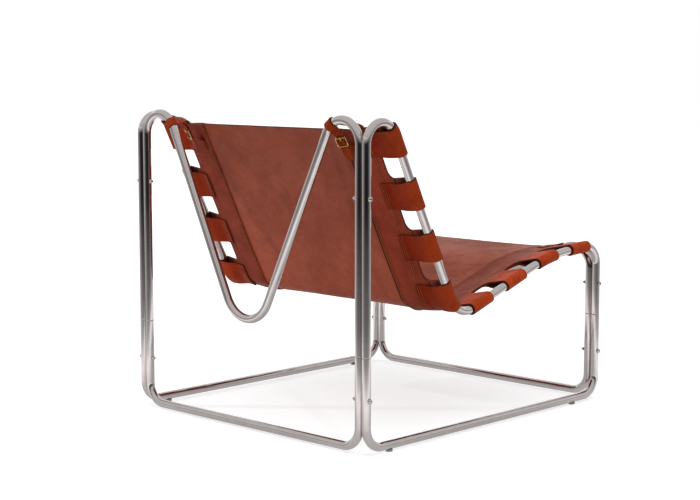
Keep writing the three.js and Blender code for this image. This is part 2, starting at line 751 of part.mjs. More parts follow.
// The belt is sewn to the sitter's side of the sheet, goes over its edge and round the tube,
// comes back under the buckle's top bar, over its middle bar and under its bottom bar.
function beltStations(corner, frame) {
  const half = belt.thickness / 2;
  const sewn = sewnStations(
    corner, beltX, sheetHalf + seatingGap + half, belt.sewnLength, -belt.edgeRise);
  const overFold = foldRadius + seatingGap + half;
  const underBar = buckle.bar * Math.SQRT1_2 + seatingGap + half;
  const threading = new BentLine([
    buckleSideView(frame, corner.tube),
    bendAt(-barSpacing, 0, buckle.topBar / 2 + seatingGap + half, 1),
    bendAt(0, 0, overFold, -1),
    bendAt(barSpacing, 0, underBar, 1),
    endPoint(barSpacing + belt.tailLength, -underBar - half),
  ]);
  const threaded = buckleStations(frame, threading, threading.pieces[1].start - belt.lead);
  return [...sewn, ...tubeStations(corner, sewn[sewn.length - 1].point, threaded[0].point), ...threaded];
}

// The chape is a thin strap folded round the buckle's middle bar. Its long leg is sewn to the
// band behind the sheet.
function chapeStations(corner, frame) {
  const radius = foldRadius - chape.thickness / 2;
  const underSheet = -(sheetHalf + bandThickness + 2 * seatingGap + chape.thickness / 2);
  const sewnStart = buckle.drop + buckle.standoff;
  const sewn = sewnStations(
    corner, corner.buckleX, underSheet, sewnStart + chape.sewnLength, sewnStart);
  const leg = buckleSideView(frame, sewn[sewn.length - 1].point);
  const returnEnd = leg.centre.clone().setLength(chape.returnLength);
  const fold = new BentLine([leg, bendAt(0, 0, radius, -1), endPoint(returnEnd.x, returnEnd.y)]);
  return [...sewn, ...buckleStations(frame, fold, fold.pieces[1].start)];
}

// A box that clears the prong's way through a strap, in the buckle's own directions.
function slotTool(frame, from, to, depth) {
  const width = prong.thickness + 2 * prong.slotClearance;
  const box = new THREE.BoxGeometry(width, to - from, depth);
  box.translate(0, -(from + to) / 2, 0);
  return box.applyMatrix4(buckleMatrix(frame));
}

// The buckle's own frame: X across its bars, Y up towards its top bar and Z out of its face.
function buckleMatrix(frame) {
  const across = frame.down.clone().negate().cross(frame.out);
  const matrix = new THREE.Matrix4().makeBasis(across, frame.down.clone().negate(), frame.out);
  return matrix.setPosition(frame.centre);
}

function roundedRectangle(width, height, radius) {
  const x = width / 2;
  const y = height / 2;
  const shape = new THREE.Shape();
  shape.moveTo(x, -y + radius);
  shape.absarc(x - radius, y - radius, radius, 0, Math.PI / 2);
  shape.absarc(-x + radius, y - radius, radius, Math.PI / 2, Math.PI);
  shape.absarc(-x + radius, -y + radius, radius, Math.PI, 3 * Math.PI / 2);
  shape.absarc(x - radius, -y + radius, radius, 3 * Math.PI / 2, 2 * Math.PI);
  return shape;
}

function buckleGeometry() {
  const { width, length, bar, topBar, cornerRadius, notchWidth } = buckle;
  const outline = roundedRectangle(width, length, cornerRadius);
  outline.holes.push(roundedRectangle(width - 2 * bar, length - 2 * bar, cornerRadius / 3));
  const cornerSteps = 2;
  const plate = new THREE.ExtrudeGeometry(outline, { depth: bar, bevelEnabled: false, curveSegments: cornerSteps });
  plate.translate(0, 0, -bar / 2);
  const origin = new THREE.Vector3();
  const middleBar = rod(bar / 2, width - bar, tubeSides, alongX, origin);
  const sleeveLength = (width - notchWidth) / 2 - bar / 2;
  const sleeves = [-1, 1].map((side) => rod(
    topBar / 2, sleeveLength, tubeSides, alongX,
    new THREE.Vector3(side * (notchWidth + sleeveLength) / 2, barSpacing, 0)));
  return join([plate, middleBar, ...sleeves]);
}

// The prong's side view is an eye round the middle bar and a finger that lies in the top
// bar's notch. It is cut to its thickness across the bars.
function prongGeometry() {
  const bore = buckle.bar / 2 + prong.eyeClearance;
  const eye = bore + prong.eyeWall;
  const restHeight = buckle.bar / 2 + seatingGap;
  const tip = barSpacing + buckle.topBar / 2 + prong.tipOverhang;
  const outline = new THREE.Shape();
  outline.moveTo(eye, 0);
  outline.lineTo(barSpacing - buckle.bar / 2 - seatingGap, restHeight);
  outline.lineTo(buckle.length / 2 + seatingGap, restHeight);
  outline.lineTo(tip, restHeight - prong.eyeWall / 2);
  outline.lineTo(tip, restHeight + prong.eyeWall / 2);
  outline.lineTo(barSpacing, restHeight + prong.eyeWall + seatingGap);
  outline.lineTo(eye * Math.cos(Math.PI / 4), eye * Math.sin(Math.PI / 4));
  outline.absarc(0, 0, eye, Math.PI / 4, 2 * Math.PI);
  outline.holes.push(new THREE.Path(circlePoints(bore / Math.cos(Math.PI / tubeSides), tubeSides)));
  const sideView = new THREE.ExtrudeGeometry(outline, { depth: prong.thickness, bevelEnabled: false, curveSegments: boreSides });
  sideView.translate(0, 0, -prong.thickness / 2);
  const turn = new THREE.Matrix4().makeBasis(new THREE.Vector3(0, 1, 0), alongZ, alongX);
  return sideView.applyMatrix4(turn);
}

function buildBelt(name, side, end) {
  const corner = cornerFrame(side, end);
  const frame = buckleFrame(corner);
  const slotDepth = 2 * buckle.length;
  const beltSolid = strip(beltStations(corner, frame), belt.width, belt.thickness);
  const beltSlot = slotTool(frame, -barSpacing + buckle.topBar / 2 + seatingGap, -foldRadius / 4, slotDepth);
  addPiece(chair, `belt_${name}`, cut(beltSolid, [beltSlot]), beltLeather);
  const chapeSolid = strip(chapeStations(corner, frame), belt.width, chape.thickness);
  const chapeSlot = slotTool(frame, -2 * foldRadius, foldRadius + seatingGap, slotDepth);
  addPiece(chair, `chape_${name}`, cut(chapeSolid, [chapeSlot]), beltLeather);

  const group = new THREE.Group();
  group.applyMatrix4(buckleMatrix(frame));
  chair.add(group);
  addPiece(group, `buckle_${name}`, buckleGeometry(), brass);
  addPiece(group, `prong_${name}`, prongGeometry(), brass);
}

loops.forEach(buildLoop);

for (const [sideName, side] of [['right', -1], ['left', 1]]) {
  for (const [endName, end] of [['rear', 1], ['front', -1]]) {
    const upperHeight = end > 0 ? rearBoltHeight : frontBoltHeight;
    buildCornerBolt(`${endName}_${sideName}_lower`, side, end * halfDepth, lowerBoltHeight);
    buildCornerBolt(`${endName}_${sideName}_upper`, side, end * halfDepth, upperHeight + seatingGap);
    buildGlide(`${endName}_${sideName}`, side * sideX, end * (halfDepth - glideSetback[endName]));
    buildBelt(`${endName}_${sideName}`, side, end);
  }
}

buildSling();

export default chair;
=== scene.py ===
# Looks of the leather sling lounge chair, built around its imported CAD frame.
#
# Lengths are the CAD source's own, in millimetres, and turn into metres when a mesh is made.
# Bent lines are drawn in a loop's plane: across the loop, and up from the floor rail. A side
# is 1 for the sitter's left and -1 for the right, and an end is 1 for rear and -1 for front.

from math import acos, asin, atan2, ceil, cos, hypot, inf, pi, radians, sin, sqrt, tan

import bmesh
import bpy
import numpy as np
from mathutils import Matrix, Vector


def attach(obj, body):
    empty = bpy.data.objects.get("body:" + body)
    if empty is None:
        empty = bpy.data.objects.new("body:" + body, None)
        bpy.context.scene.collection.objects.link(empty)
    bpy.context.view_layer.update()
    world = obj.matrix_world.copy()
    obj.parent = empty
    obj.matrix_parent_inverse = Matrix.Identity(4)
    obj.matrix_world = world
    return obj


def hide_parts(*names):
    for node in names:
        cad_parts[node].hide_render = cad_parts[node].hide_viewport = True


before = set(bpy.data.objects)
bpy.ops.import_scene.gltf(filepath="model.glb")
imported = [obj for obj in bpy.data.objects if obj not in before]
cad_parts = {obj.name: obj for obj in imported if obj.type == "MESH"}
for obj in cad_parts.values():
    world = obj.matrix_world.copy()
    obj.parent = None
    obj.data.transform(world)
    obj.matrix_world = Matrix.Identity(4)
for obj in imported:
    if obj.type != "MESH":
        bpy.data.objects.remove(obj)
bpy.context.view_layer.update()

MM = 0.001
TUBE_R, BORE_R, GAP = 10, 8, 0.3
WIDTH, DEPTH, SEAM = 713, 841, 202
HALF_W, HALF_D = WIDTH / 2, DEPTH / 2
SIDE_X = HALF_W + 2 * TUBE_R + GAP
RAIL = 4 + TUBE_R + GAP
LEATHER, BAND = 3.6, 2.5
EDGE = SIDE_X - 60
BAND_IN, OVERLAP = EDGE - 86, 24
BAND_INNER = {1: BAND_IN, -1: BAND_IN + 6}
TAB = 71
SAG_RUN, SAG_FOLD, FOLD_REACH, FLATNESS = 12, 8, 200, 8
CORNERS = (("rear_right", -1, 1), ("front_right", -1, -1),
           ("rear_left", 1, 1), ("front_left", 1, -1))

# Wear by side: how far tabs slip, their upper edges droop and the band's inner edge curls.
TAB_SLIP, TAB_DROOP, BAND_CURL = {1: 4, -1: 6}, {1: 2.5, -1: 5.5}, {1: 0.5, -1: 4.5}
LEFT_CREEP = 11


# Bent lines -----------------------------------------------

def norm(v):
    return v / np.linalg.norm(v, axis=-1, keepdims=True)


def square(v, *axes):
    """A direction, or rows of them, turned to be square to others, one after another."""
    for axis in axes:
        v = v - axis * (v * axis).sum(-1, keepdims=True)
    return norm(v)


def unit(a):
    return np.array([cos(a), sin(a)])


def left(a):
    return np.array([-sin(a), cos(a)])


def around(sides):
    return 2 * pi * np.arange(sides) / sides


def bend(x, y, radius=0, turn=0):
    """A bend circle: its centre, its radius, and 1 or -1 for a turn to the left or right."""
    return (np.array([x, y], float), radius, turn)


def touch(b, heading):
    return b[0] - b[2] * b[1] * left(heading)


def run_heading(a, b):
    gap = b[0] - a[0]
    offset = b[2] * b[1] - a[2] * a[1]
    return atan2(gap[1], gap[0]) - asin(offset / np.hypot(*gap))


class Line:
    """Straight runs that meet each bend circle at a tangent, by distance along them."""

    def __init__(self, bends):
        self.pieces, self.length = [], 0
        headings = [run_heading(a, b) for a, b in zip(bends, bends[1:])]
        start = bends[0][0]
        for i, b in enumerate(bends[1:]):
            end = touch(b, headings[i])
            self._add(start, headings[i], None, np.hypot(*(end - start)))
            if b[2]:
                sweep = (b[2] * (headings[i + 1] - headings[i])) % (2 * pi)
                self._add(end, headings[i], b, sweep * b[1])
                start = touch(b, headings[i + 1])

    def _add(self, start, heading, b, length):
        self.pieces.append((self.length, start, heading, b, length))
        self.length += length

    def at(self, d):
        """The point and the heading at a distance."""
        reached = [p for p in self.pieces if p[0] <= d]
        s, start, heading, b, _ = reached[-1] if reached else self.pieces[0]
        if b is None:
            return start + unit(heading) * (d - s), heading
        heading += b[2] * (d - s) / b[1]
        return touch(b, heading), heading

    def stations(self, step, most=60, start=0):
        """Distances no more than an angle apart in the bends, and most apart between them."""
        out = [start, self.length]
        for s, _, _, b, length in self.pieces:
            n = max(1, ceil(length / (b[1] * step if b else most)))
            out += [s + length * k / n for k in range(n + 1)]
        out = sorted(d for d in out if start <= d <= self.length)
        return [d for i, d in enumerate(out) if i == 0 or d - out[i - 1] > 0.05]


def base_line(span):
    h, r = span / 2, 48
    return Line([bend(-h, SEAM), bend(-h + r, r, r, 1), bend(h - r, r, r, 1), bend(h, SEAM)])


def end_line(rise, vertex):
    r, dip = 52, 75
    t = HALF_W - r
    return Line([
        bend(-HALF_W, SEAM), bend(-t, rise - r, r, -1), bend(0, vertex + dip, dip, 1),
        bend(t, rise - r, r, -1), bend(HALF_W, SEAM),
    ])


def side_line():
    rise, r, crown_r = 705, 46.5, 600
    top = bend(-HALF_D + r, rise - r, r, -1)
    seat = bend(-HALF_D + 334, 267.5 + 66, 66, 1)
    front = bend(HALF_D - 48, 377 - 48, 48, -1)
    corner = bend(HALF_D - 195, 368)
    h = run_heading(seat, corner)
    half = (h - run_heading(corner, front)) % (2 * pi) / 2
    crown = (corner[0] - left(h - half) * crown_r / cos(half), crown_r, -1)
    return Line([bend(-HALF_D, SEAM), top, seat, crown, front, bend(HALF_D, SEAM)])


REAR = end_line(710, 245)
FRONT = end_line(370, 252)
SIDE = side_line()


# Mesh making ----------------------------------------------

def add_object(name, data):
    obj = bpy.data.objects.new(name, data)
    bpy.context.scene.collection.objects.link(obj)
    return obj


def mesh_object(name, verts, faces, slots=None, uv=None, sharp=35):
    """A smooth-shaded object from points in mm. slots gives each face's material index."""
    mesh = bpy.data.meshes.new(name)
    mesh.from_pydata((np.asarray(verts, float) * MM).tolist(), [], [list(f) for f in faces])
    if slots is not None:
        mesh.polygons.foreach_set("material_index", np.asarray(slots, np.int32))
    if uv is not None:
        layer = mesh.uv_layers.new(name="UVMap")
        loops = np.zeros(len(mesh.loops), np.int32)
        mesh.loops.foreach_get("vertex_index", loops)
        layer.data.foreach_set("uv", (np.asarray(uv, float)[loops] * MM).ravel())
    b = bmesh.new()
    b.from_mesh(mesh)
    bmesh.ops.delete(b, geom=[v for v in b.verts if not v.link_faces])
    bmesh.ops.remove_doubles(b, verts=b.verts, dist=1e-7)
    bmesh.ops.recalc_face_normals(b, faces=b.faces)
    for f in b.faces:
        f.smooth = True
    for e in b.edges:
        if len(e.link_faces) == 2 and e.calc_face_angle(0) > radians(sharp):
            e.smooth = False
    b.to_mesh(mesh)
    b.free()
    return add_object(name, mesh)


def paint(obj, *materials):
    for m in materials:
        obj.data.materials.append(m)


def settle(obj, slot, stands_for=None, *materials, body="chair"):
    """Gives a piece its materials and its body, and hides the CAD node it stands for.

    slot is not used.
    """
    paint(obj, *materials)
    if stands_for:
        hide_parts(stands_for)
    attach(obj, body)
    return obj


def rings_to_faces(rings, sides, closed=False, start=0):
    """Quads between consecutive rings of points."""
    faces = []
    for i in range(rings if closed else rings - 1):
        a, b = start + i * sides, start + (i + 1) % rings * sides
        for j in range(sides):
            n = (j + 1) % sides
            faces.append((a + j, a + n, b + n, b + j))
    return faces


def tube_piece(name, line, place, sides=48):
    """A hollow tube with lightly rounded mouths, swept along a line in its loop's plane."""
    end, lip = line.length, 0.35
    inside = [d for d in line.stations(radians(3)) if 4 * lip < d < end - 4 * lip]
    mouth = [(0, BORE_R), (0, TUBE_R - lip), (0.3 * lip, TUBE_R - 0.3 * lip),
             (lip, TUBE_R), (3 * lip, TUBE_R)]
    profile = mouth + [(d, TUBE_R) for d in inside] + [(end - d, r) for d, r in reversed(mouth)]
    profile += [(d, BORE_R) for d in reversed([lip, *inside, end - lip])]
    verts = []
    for d, r in profile:
        p, h = line.at(d)
        for a in around(sides):
            verts.append(place(*(p + left(h) * r * cos(a)), r * sin(a)))
    return mesh_object(name, verts, rings_to_faces(len(profile), sides, closed=True))


def circle(r, z, flat=inf, sides=48):
    """A ring about Z. flat cuts it down to a hexagon with its flats that far from the middle."""
    ring = []
    for a in around(sides):
        reach = min(r, flat / cos(a % (pi / 3) - pi / 6))
        ring.append((reach * cos(a), reach * sin(a), z))
    return ring


def oval(centre, radii, first, last, count):
    """(radius, height) points along a quarter or so of an oval."""
    return [(centre[0] + radii[0] * cos(a), centre[1] + radii[1] * sin(a))
            for a in np.linspace(first, last, count)]


def turned(rings, bottom, top):
    """Points and faces of a piece made of rings about Z, with a point in both end faces."""
    sides = len(rings[0])
    verts = [v for ring in rings for v in ring] + [(0, 0, bottom), (0, 0, top)]
    faces = rings_to_faces(len(rings), sides)
    last = (len(rings) - 1) * sides
    for j in range(sides):
        n = (j + 1) % sides
        faces += [(j, len(verts) - 2, n), (last + j, last + n, len(verts) - 1)]
    return verts, faces


def thick_sheet(name, grid, normals, half, has, uv):
    """A closed sheet about a grid of points. Slot 0 is its + side, 1 its - side, 2 its edges."""
    rows, cols = grid.shape[:2]
    half = np.broadcast_to(half, (rows, cols))[..., None]
    verts = np.concatenate([(grid + s * normals * half).reshape(-1, 3) for s in (1, -1)])
    index = np.arange(rows * cols).reshape(rows, cols)
    filled = np.pad(has[:-1, :-1], 1)
    faces, slots = [], []
    for i in range(rows - 1):
        for j in range(cols - 1):
            if not has[i, j]:
                continue
            over = [index[i, j], index[i, j + 1], index[i + 1, j + 1], index[i + 1, j]]
            under = [v + rows * cols for v in over]
            faces += [tuple(over), (under[0], under[3], under[2], under[1])]
            slots += [0, 1]
            for k, down, along in ((0, -1, 0), (2, 1, 0), (3, 0, -1), (1, 0, 1)):
                if not filled[i + 1 + down, j + 1 + along]:
                    n = (k + 1) % 4
                    faces.append((over[k], under[k], under[n], over[n]))
                    slots.append(2)
    return mesh_object(name, verts, faces, slots, np.tile(uv.reshape(-1, 2), (2, 1)), 40)


def add_bevel(obj, width):
    m = obj.modifiers.new("rounded_edges", "BEVEL")
    m.width, m.segments = width * MM, 2
    m.limit_method, m.angle_limit = "ANGLE", radians(50)
    m.harden_normals = False


# Shader nodes ---------------------------------------------

def feed(t, n, *inputs, **named):
    """Links or sets a node's inputs, by order or by name with _ for a space."""
    for key, value in (*enumerate(inputs), *named.items()):
        socket = n.inputs[key.replace("_", " ") if isinstance(key, str) else key]
        if isinstance(value, bpy.types.NodeSocket):
            t.links.new(value, socket)
        elif isinstance(value, tuple) and socket.type == "RGBA":
            socket.default_value = (*value, 1)
        elif value is not None:
            socket.default_value = value
    return n


def outputs(t, kind, *inputs, **named):
    """Adds a node. Lower case names are its own settings, and the others are its inputs."""
    n = t.nodes.new("ShaderNode" + kind)
    for key in [k for k in named if k[0].islower()]:
        setattr(n, key, named.pop(key))
    return feed(t, n, *inputs, **named).outputs


def node(t, kind, *inputs, **named):
    """Adds a node, and gives its first output."""
    return outputs(t, kind, *inputs, **named)[0]


def calc(t, op, a, b=0):
    return node(t, "Math", a, b, operation=op)


def times(t, first, *others):
    for other in others:
        first = calc(t, "MULTIPLY", first, other)
    return first


def step(t, value, low, high, first=0, last=1):
    """Goes smoothly from first to last while value goes from low to high."""
    return node(t, "MapRange", value, low, high, first, last, interpolation_type="SMOOTHSTEP")


def ramp(t, source, *stops):
    """A colour ramp. Each stop is a place with a colour, or with a level of grey."""
    colours = node(t, "ValToRGB", source)
    marks = colours.node.color_ramp.elements
    while len(marks) < len(stops):
        marks.new(0.5)
    if len(stops) == 1:
        marks.remove(marks[1])
    for mark, (at, colour) in zip(marks, stops):
        mark.position = at
        mark.color = (*(colour if isinstance(colour, tuple) else (colour,) * 3), 1)
    return colours


def noise(t, coords, scale, detail=3, rough=0.55, distortion=0):
    return node(t, "TexNoise", Vector=coords, Scale=scale, Detail=detail, Roughness=rough,
                Distortion=distortion)


def mix_colour(t, a, b, fac, blend="MIX"):
    unused = [None] * 5
    return outputs(t, "Mix", fac, *unused, a, b, data_type="RGBA", blend_type=blend)[2]


def bump(t, height, distance, strength, normal=None):
    return node(t, "Bump", Strength=strength, Distance=distance, Height=height, Normal=normal)


def object_coords(t):
    return outputs(t, "TexCoord")["Object"]


# Materials ------------------------------------------------

def new_material(name):
    m = bpy.data.materials.new(name)
    m.use_nodes = True
    return m, m.node_tree, m.node_tree.nodes["Principled BSDF"]


def surface(name, colour, rough, relief=None, metallic=1):
    """A plain material. colour and rough are each the settings of a noise and the stops of its
    ramp, and relief is the settings of a noise and the distance and strength of its bump."""
    m, t, p = new_material(name)
    co = object_coords(t)
    feed(t, p, Metallic=metallic, Base_Color=ramp(t, noise(t, co, *colour[0]), *colour[1:]),
         Roughness=ramp(t, noise(t, co, *rough[0]), *rough[1:]))
    if relief:
        feed(t, p, Normal=bump(t, noise(t, co, *relief[0]), *relief[1:]))
    return m


def thread_material():
    m, t, p = new_material("waxed_thread")
    twist = outputs(t, "TexWave", Vector=object_coords(t), Scale=900, Distortion=1.5)["Fac"]
    feed(t, p, Base_Color=ramp(t, twist, (0.2, (0.38, 0.095, 0.032)), (0.8, (0.65, 0.2, 0.065))),
         Roughness=0.62, Normal=bump(t, twist, 0.0001, 0.6))
    return m


def grooves(t, right, seams):
    """1 away from the rows of stitches, and less along them, as painted shade in the grooves
    where the thread pulls the leather in. The rows beside the right band's inner edge lie 6 mm
    further out."""
    beside = calc(t, "ABSOLUTE", calc(t, "SUBTRACT", right, 0.24))
    shift = times(t, calc(t, "LESS_THAN", beside, 0.02), 0.006)
    at = calc(t, "SUBTRACT", calc(t, "ABSOLUTE", right), shift)
    away = [calc(t, "ABSOLUTE", calc(t, "SUBTRACT", at, seam)) for seam in seams]
    return times(t, *(step(t, d, 0.0007, 0.0022, 0.5, 1) for d in away))


def leather_material(name, zones, rough=0.5, grain=1, mottle=0.2, gloss=((0, 0.05),),
                     seams=(), marks=None):
    """Tanned leather: uneven colour, pores, fine creases and a soft gloss.

    zones are (metres out from the sling's middle, colour) pairs, gloss the same with a level,
    and seams the places of its rows of stitches. marks is a function that adds a tone, by how
    far a point is to the right, down and out along the leather; the ones used here paint light
    and shade into the colour.
    """
    reach = 0.6
    m, t, p = new_material(name)
    co = object_coords(t)
    split = outputs(t, "SeparateXYZ", outputs(t, "TexCoord")["UV"])
    right = calc(t, "SUBTRACT", 1, split["X"])
    out = calc(t, "ABSOLUTE", right)
    share = calc(t, "DIVIDE", out, reach)
    creases = noise(t, co, 26, 6, 0.68, 0.3)
    blotch = calc(t, "ADD", times(t, noise(t, co, 5, 5, 0.6, 0.6), 0.5), times(t, creases, 0.5))
    fine = noise(t, co, 300, 4, 0.7)
    pores = node(t, "TexVoronoi", feature="DISTANCE_TO_EDGE", Vector=co, Scale=720)
    tones = [step(t, blotch, 0.36, 0.64, 1 - mottle, 1 + mottle),
             step(t, fine, 0.3, 0.7, 0.86, 1.14), step(t, pores, 0, 0.1, 0.8, 1)]
    relief = [(step(t, pores, 0, 0.16), 0.00012, 0.55 * grain), (fine, 0.0003, 0.45 * grain),
              (creases, 0.0018, 0.22 * grain)]
    if seams:
        groove = grooves(t, right, seams)
        # painted shade in the stitch grooves
        tones.append(groove)
        relief.append((groove, 0.0012, 0.5))
    if marks:
        # painted light and shade from marks
        tones.append(marks(t, right, split["Y"], out))
    colour = ramp(t, share, *((at / reach, c) for at, c in zones))
    shine = gloss[0][1]
    if len(gloss) > 1:
        shine = ramp(t, share, *((at / reach, level) for at, level in gloss))
    normal = None
    for height, distance, strength in relief:
        normal = bump(t, height, distance, strength, normal)
    scaled = node(t, "VectorMath", colour, operation="SCALE", Scale=times(t, *tones))
    feed(t, p, Base_Color=scaled, Specular_IOR_Level=shine, Normal=normal,
         Roughness=step(t, blotch, 0.35, 0.65, rough + 0.1, rough - 0.06))
    return m


def back_tone_and_shade(t, right, down, out):
    """The flesh side: painted light from the floor makes it paler low down, and it is paler
    to the left. Painted shade lies beside the right band's curled edge and inside the wraps,
    and one faint vertical streak of painted shadow from the near uprights crosses it."""
    # painted shadow on the panel beside the right band's curled inner edge
    line = calc(t, "ADD", step(t, right, 0.2265, 0.2295, 1, 0.12),
                step(t, right, 0.2372, 0.2378, 0, 0.88))
    # a faint vertical streak of painted shadow from the near uprights
    fold = calc(t, "ADD", step(t, right, 0.165, 0.178, 1, 0.9),
                step(t, right, 0.182, 0.2, 0, 0.1))
    # painted light low down, paler to the left, and painted shade inside the wraps
    return times(t, line, fold, step(t, down, 0.6, 1, 0.92, 1.24),
                 step(t, right, -0.22, 0, 1.14, 1), step(t, out, 0.33, 0.35, 1, 0.4))


def band_edge_shade(t, right, down, out):
    """Painted shade along the right band's inner edge, the side turned away from the light."""
    return calc(t, "MAXIMUM", step(t, right, 0.2385, 0.2405, 0.2, 1),
                step(t, right, 0, 0.01, 1, 0))


def front_painted_light(t, right, down, out):
    """Painted light: the seat's tabs, which face up, and the back's left tabs are made paler than
    the back's right ones.
    """
    paler = calc(t, "MAXIMUM", step(t, down, 1.03, 1.09), step(t, right, -0.45, -0.4, 1, 0))
    return calc(t, "ADD", times(t, step(t, out, 0.305, 0.34), paler, 0.42), 1)


HAZE, WEAR = (38, 4, 0.6), (260, 5, 0.65)
CHROME = surface(
    "polished_chrome", (HAZE, (0.3, (0.58, 0.532, 0.52)), (0.75, (0.515, 0.472, 0.462))),
    (HAZE, (0.35, 0.04), (0.8, 0.12)), ((900, 2, 0.5), 0.00003, 0.25))
STEEL = surface(
    "turned_steel", ((60,), (0.3, 0.42), (0.7, 0.3)), ((140,), (0.3, 0.25), (0.7, 0.42)))
BRASS = surface(
    "aged_brass",
    (WEAR, (0.35, (0.38, 0.25, 0.08)), (0.6, (0.66, 0.46, 0.17)), (0.8, (0.8, 0.62, 0.3))),
    (WEAR, (0.3, 0.42), (0.7, 0.2)), (WEAR, 0.00006, 0.4))
PLASTIC = surface(
    "grey_plastic",
    ((90,), (0.3, (0.24, 0.236, 0.232)), (0.7, (0.375, 0.36875, 0.3625))),
    ((400,), (0.3, 0.32), (0.7, 0.5)), ((1400,), 0.00005, 0.5), 0)
THREAD = thread_material()
SEAMS = (0.2345, 0.239, 0.298, 0.304)
# Colours out from the sling's middle on the sitter's side. Out on the tabs' rear layers they
# darken towards the sewn ends: partly painted shade from the uprights beside them, partly
# darkening where the leather is stitched.
SITTERS_SIDE = (
    (0.225, (0.30, 0.061, 0.027)), (0.24, (0.235, 0.037, 0.0135)),
    (0.30, (0.245, 0.039, 0.0145)), (0.335, (0.34, 0.046, 0.0115)),
    (0.415, (0.33, 0.04, 0.0085)), (0.432, (0.275, 0.028, 0.005)),
    (0.455, (0.22, 0.0195, 0.0035)), (0.505, (0.2, 0.017, 0.0035)),
)


def one_tone(name, colour, rough=0.5, grain=1, mottle=0.2, gloss=0.05, **more):
    return leather_material(name, [(0, colour)], rough, grain, mottle, [(0, gloss)], **more)


GRAIN = leather_material(
    "cognac_grain", SITTERS_SIDE, 0.42, gloss=((0.3, 0.055), (0.335, 0.03)),
    seams=(*SEAMS, 0.492, 0.498), marks=front_painted_light)
FLESH = one_tone("brown_back", (0.28, 0.054, 0.0245), 0.55, 1.2, 0.13, 0.2, marks=back_tone_and_shade)
BAND_LEATHER = one_tone(
    "band_leather", (0.262, 0.041, 0.0205), mottle=0.18, seams=SEAMS, marks=band_edge_shade)
BAND_EDGE = one_tone("band_edge", (0.26, 0.06, 0.032))
RAW_EDGE = one_tone("burnished_edge", (0.115, 0.028, 0.015), grain=0.8)
BELT_LEATHER = one_tone("belt_leather", (0.295, 0.038, 0.0085), 0.42, gloss=0.03)


# Frame ----------------------------------------------------

def end_plane(y, lift):
    return lambda across, up, out: (across, y - out, RAIL + lift + up)


def side_plane(x, lift):
    return lambda across, up, out: (x + out, -across, RAIL + lift + up)


for loop, plane, spot, span, upper in (
    ("rear_frame", end_plane, HALF_D, WIDTH, REAR),
    ("front_frame", end_plane, -HALF_D, WIDTH, FRONT),
    ("right_frame", side_plane, -SIDE_X, DEPTH, SIDE),
    ("left_frame", side_plane, SIDE_X, DEPTH, SIDE),
):
    for part, line, lift in (("base", base_line(span), 0), ("upper", upper, GAP)):
        piece = tube_piece(f"{loop}_{part}_tube", line, plane(spot, lift))
        settle(piece, "chrome_tube", f"{loop}_{part}", CHROME)
    for end in "ab":
        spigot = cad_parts[f"{loop}_spigot_{end}"]
        spigot.data.materials.clear()
        paint(spigot, STEEL)


# Bolts, nuts and glides -----------------------------------

def bolt_mesh():
    """A button head with a hexagon socket, on a plain shank. Its seat is at z 0."""
    shank, socket = 49.3, 1.9 * cos(pi / 6)
    profile = [(0.001, -shank), (2.4, -shank), (3, 0.6 - shank), (3, 0), (5.7, 0)]
    profile += oval((5.55, 0.45), (0.45, 0.45), -pi / 2, 0, 4) + [(6, 1.3)]
    profile += oval((0, 1.3), (6, 3.7), 0.12, 1.02, 9)
    top = profile[-1][1]
    rings = [circle(r, z) for r, z in profile]
    rings += [circle(inf, top - down, socket) for down in (0.15, 2.2)]
    return turned(rings, -shank, top - 2.5)


def nut_mesh():
    """A cap nut: six flats below a collar, and a dome."""
    flats = [circle(r, z, 4.55) for r, z in ((4.6, 0), (4.95, 0.35), (5.1, 2.6))]
    dome = [(4.3, 3.1)] + oval((0, 3), (4.25, 3.4), 0.1, 1.45, 10)
    rings = [circle(3.3, 4.5), circle(3.3, 0)] + flats + [circle(r, z) for r, z in dome]
    return turned(rings, 4.5, 6.42)


def glide_mesh(sides=64):
    """A glide whose top is hollowed to the tube, with a stem that goes into its hole."""
    reach, stem_top = TUBE_R + GAP, 10.7
    rings = [circle(r, z, sides=sides) for r, z in ((7, 0), (7.6, 0.25), (8, 0.9))]
    for r, down in ((8, 0.3), (7.7, 0), (5.5, 0), (3, 0)):
        rings.append([(x, y, min(RAIL - sqrt(reach * reach - x * x), 6) - down)
                      for x, y, _ in circle(r, 0, sides=sides)])
    rings += [circle(3, 10.2, sides=sides), circle(2.6, stem_top, sides=sides)]
    return turned(rings, 0, stem_top)


def across_pair(name, mesh, x, y, z, sign, stands_for):
    """Adds a bolt or nut, made about Z, so that its +Z points along sign * X."""
    verts, faces = mesh
    piece = mesh_object(name, [(x + sign * v[2], y + sign * v[0], z + v[1]) for v in verts], faces)
    settle(piece, "chrome_bolt", stands_for, CHROME)


for corner, side, end in CORNERS:
    for level, height in (("lower", 109), ("upper", (544.848 if end > 0 else 280) + GAP)):
        key, y, z = f"{corner}_{level}", end * HALF_D, RAIL + height
        outer, inner = SIDE_X + TUBE_R + GAP, HALF_W - TUBE_R - GAP
        across_pair(f"button_bolt_{key}", bolt_mesh(), side * outer, y, z, side, f"bolt_{key}")
        across_pair(f"domed_nut_{key}", nut_mesh(), side * inner, y, z, -side, f"cap_nut_{key}")

for corner, side, end in CORNERS:
    verts, faces = glide_mesh()
    y = end * (HALF_D - (73 if end > 0 else 95))
    verts = [(side * SIDE_X + v[0], y + v[1], v[2]) for v in verts]
    foot = mesh_object(f"foot_{corner}", verts, faces)
    settle(foot, "glide_plastic", f"glide_{corner}", PLASTIC)


# Sling ----------------------------------------------------

def tab_row(first, last, count=4):
    """Tabs spread evenly between two distances, as (begin, end) pairs."""
    pitch = (last - first - TAB) / (count - 1)
    return [(first + i * pitch, first + i * pitch + TAB) for i in range(count)]


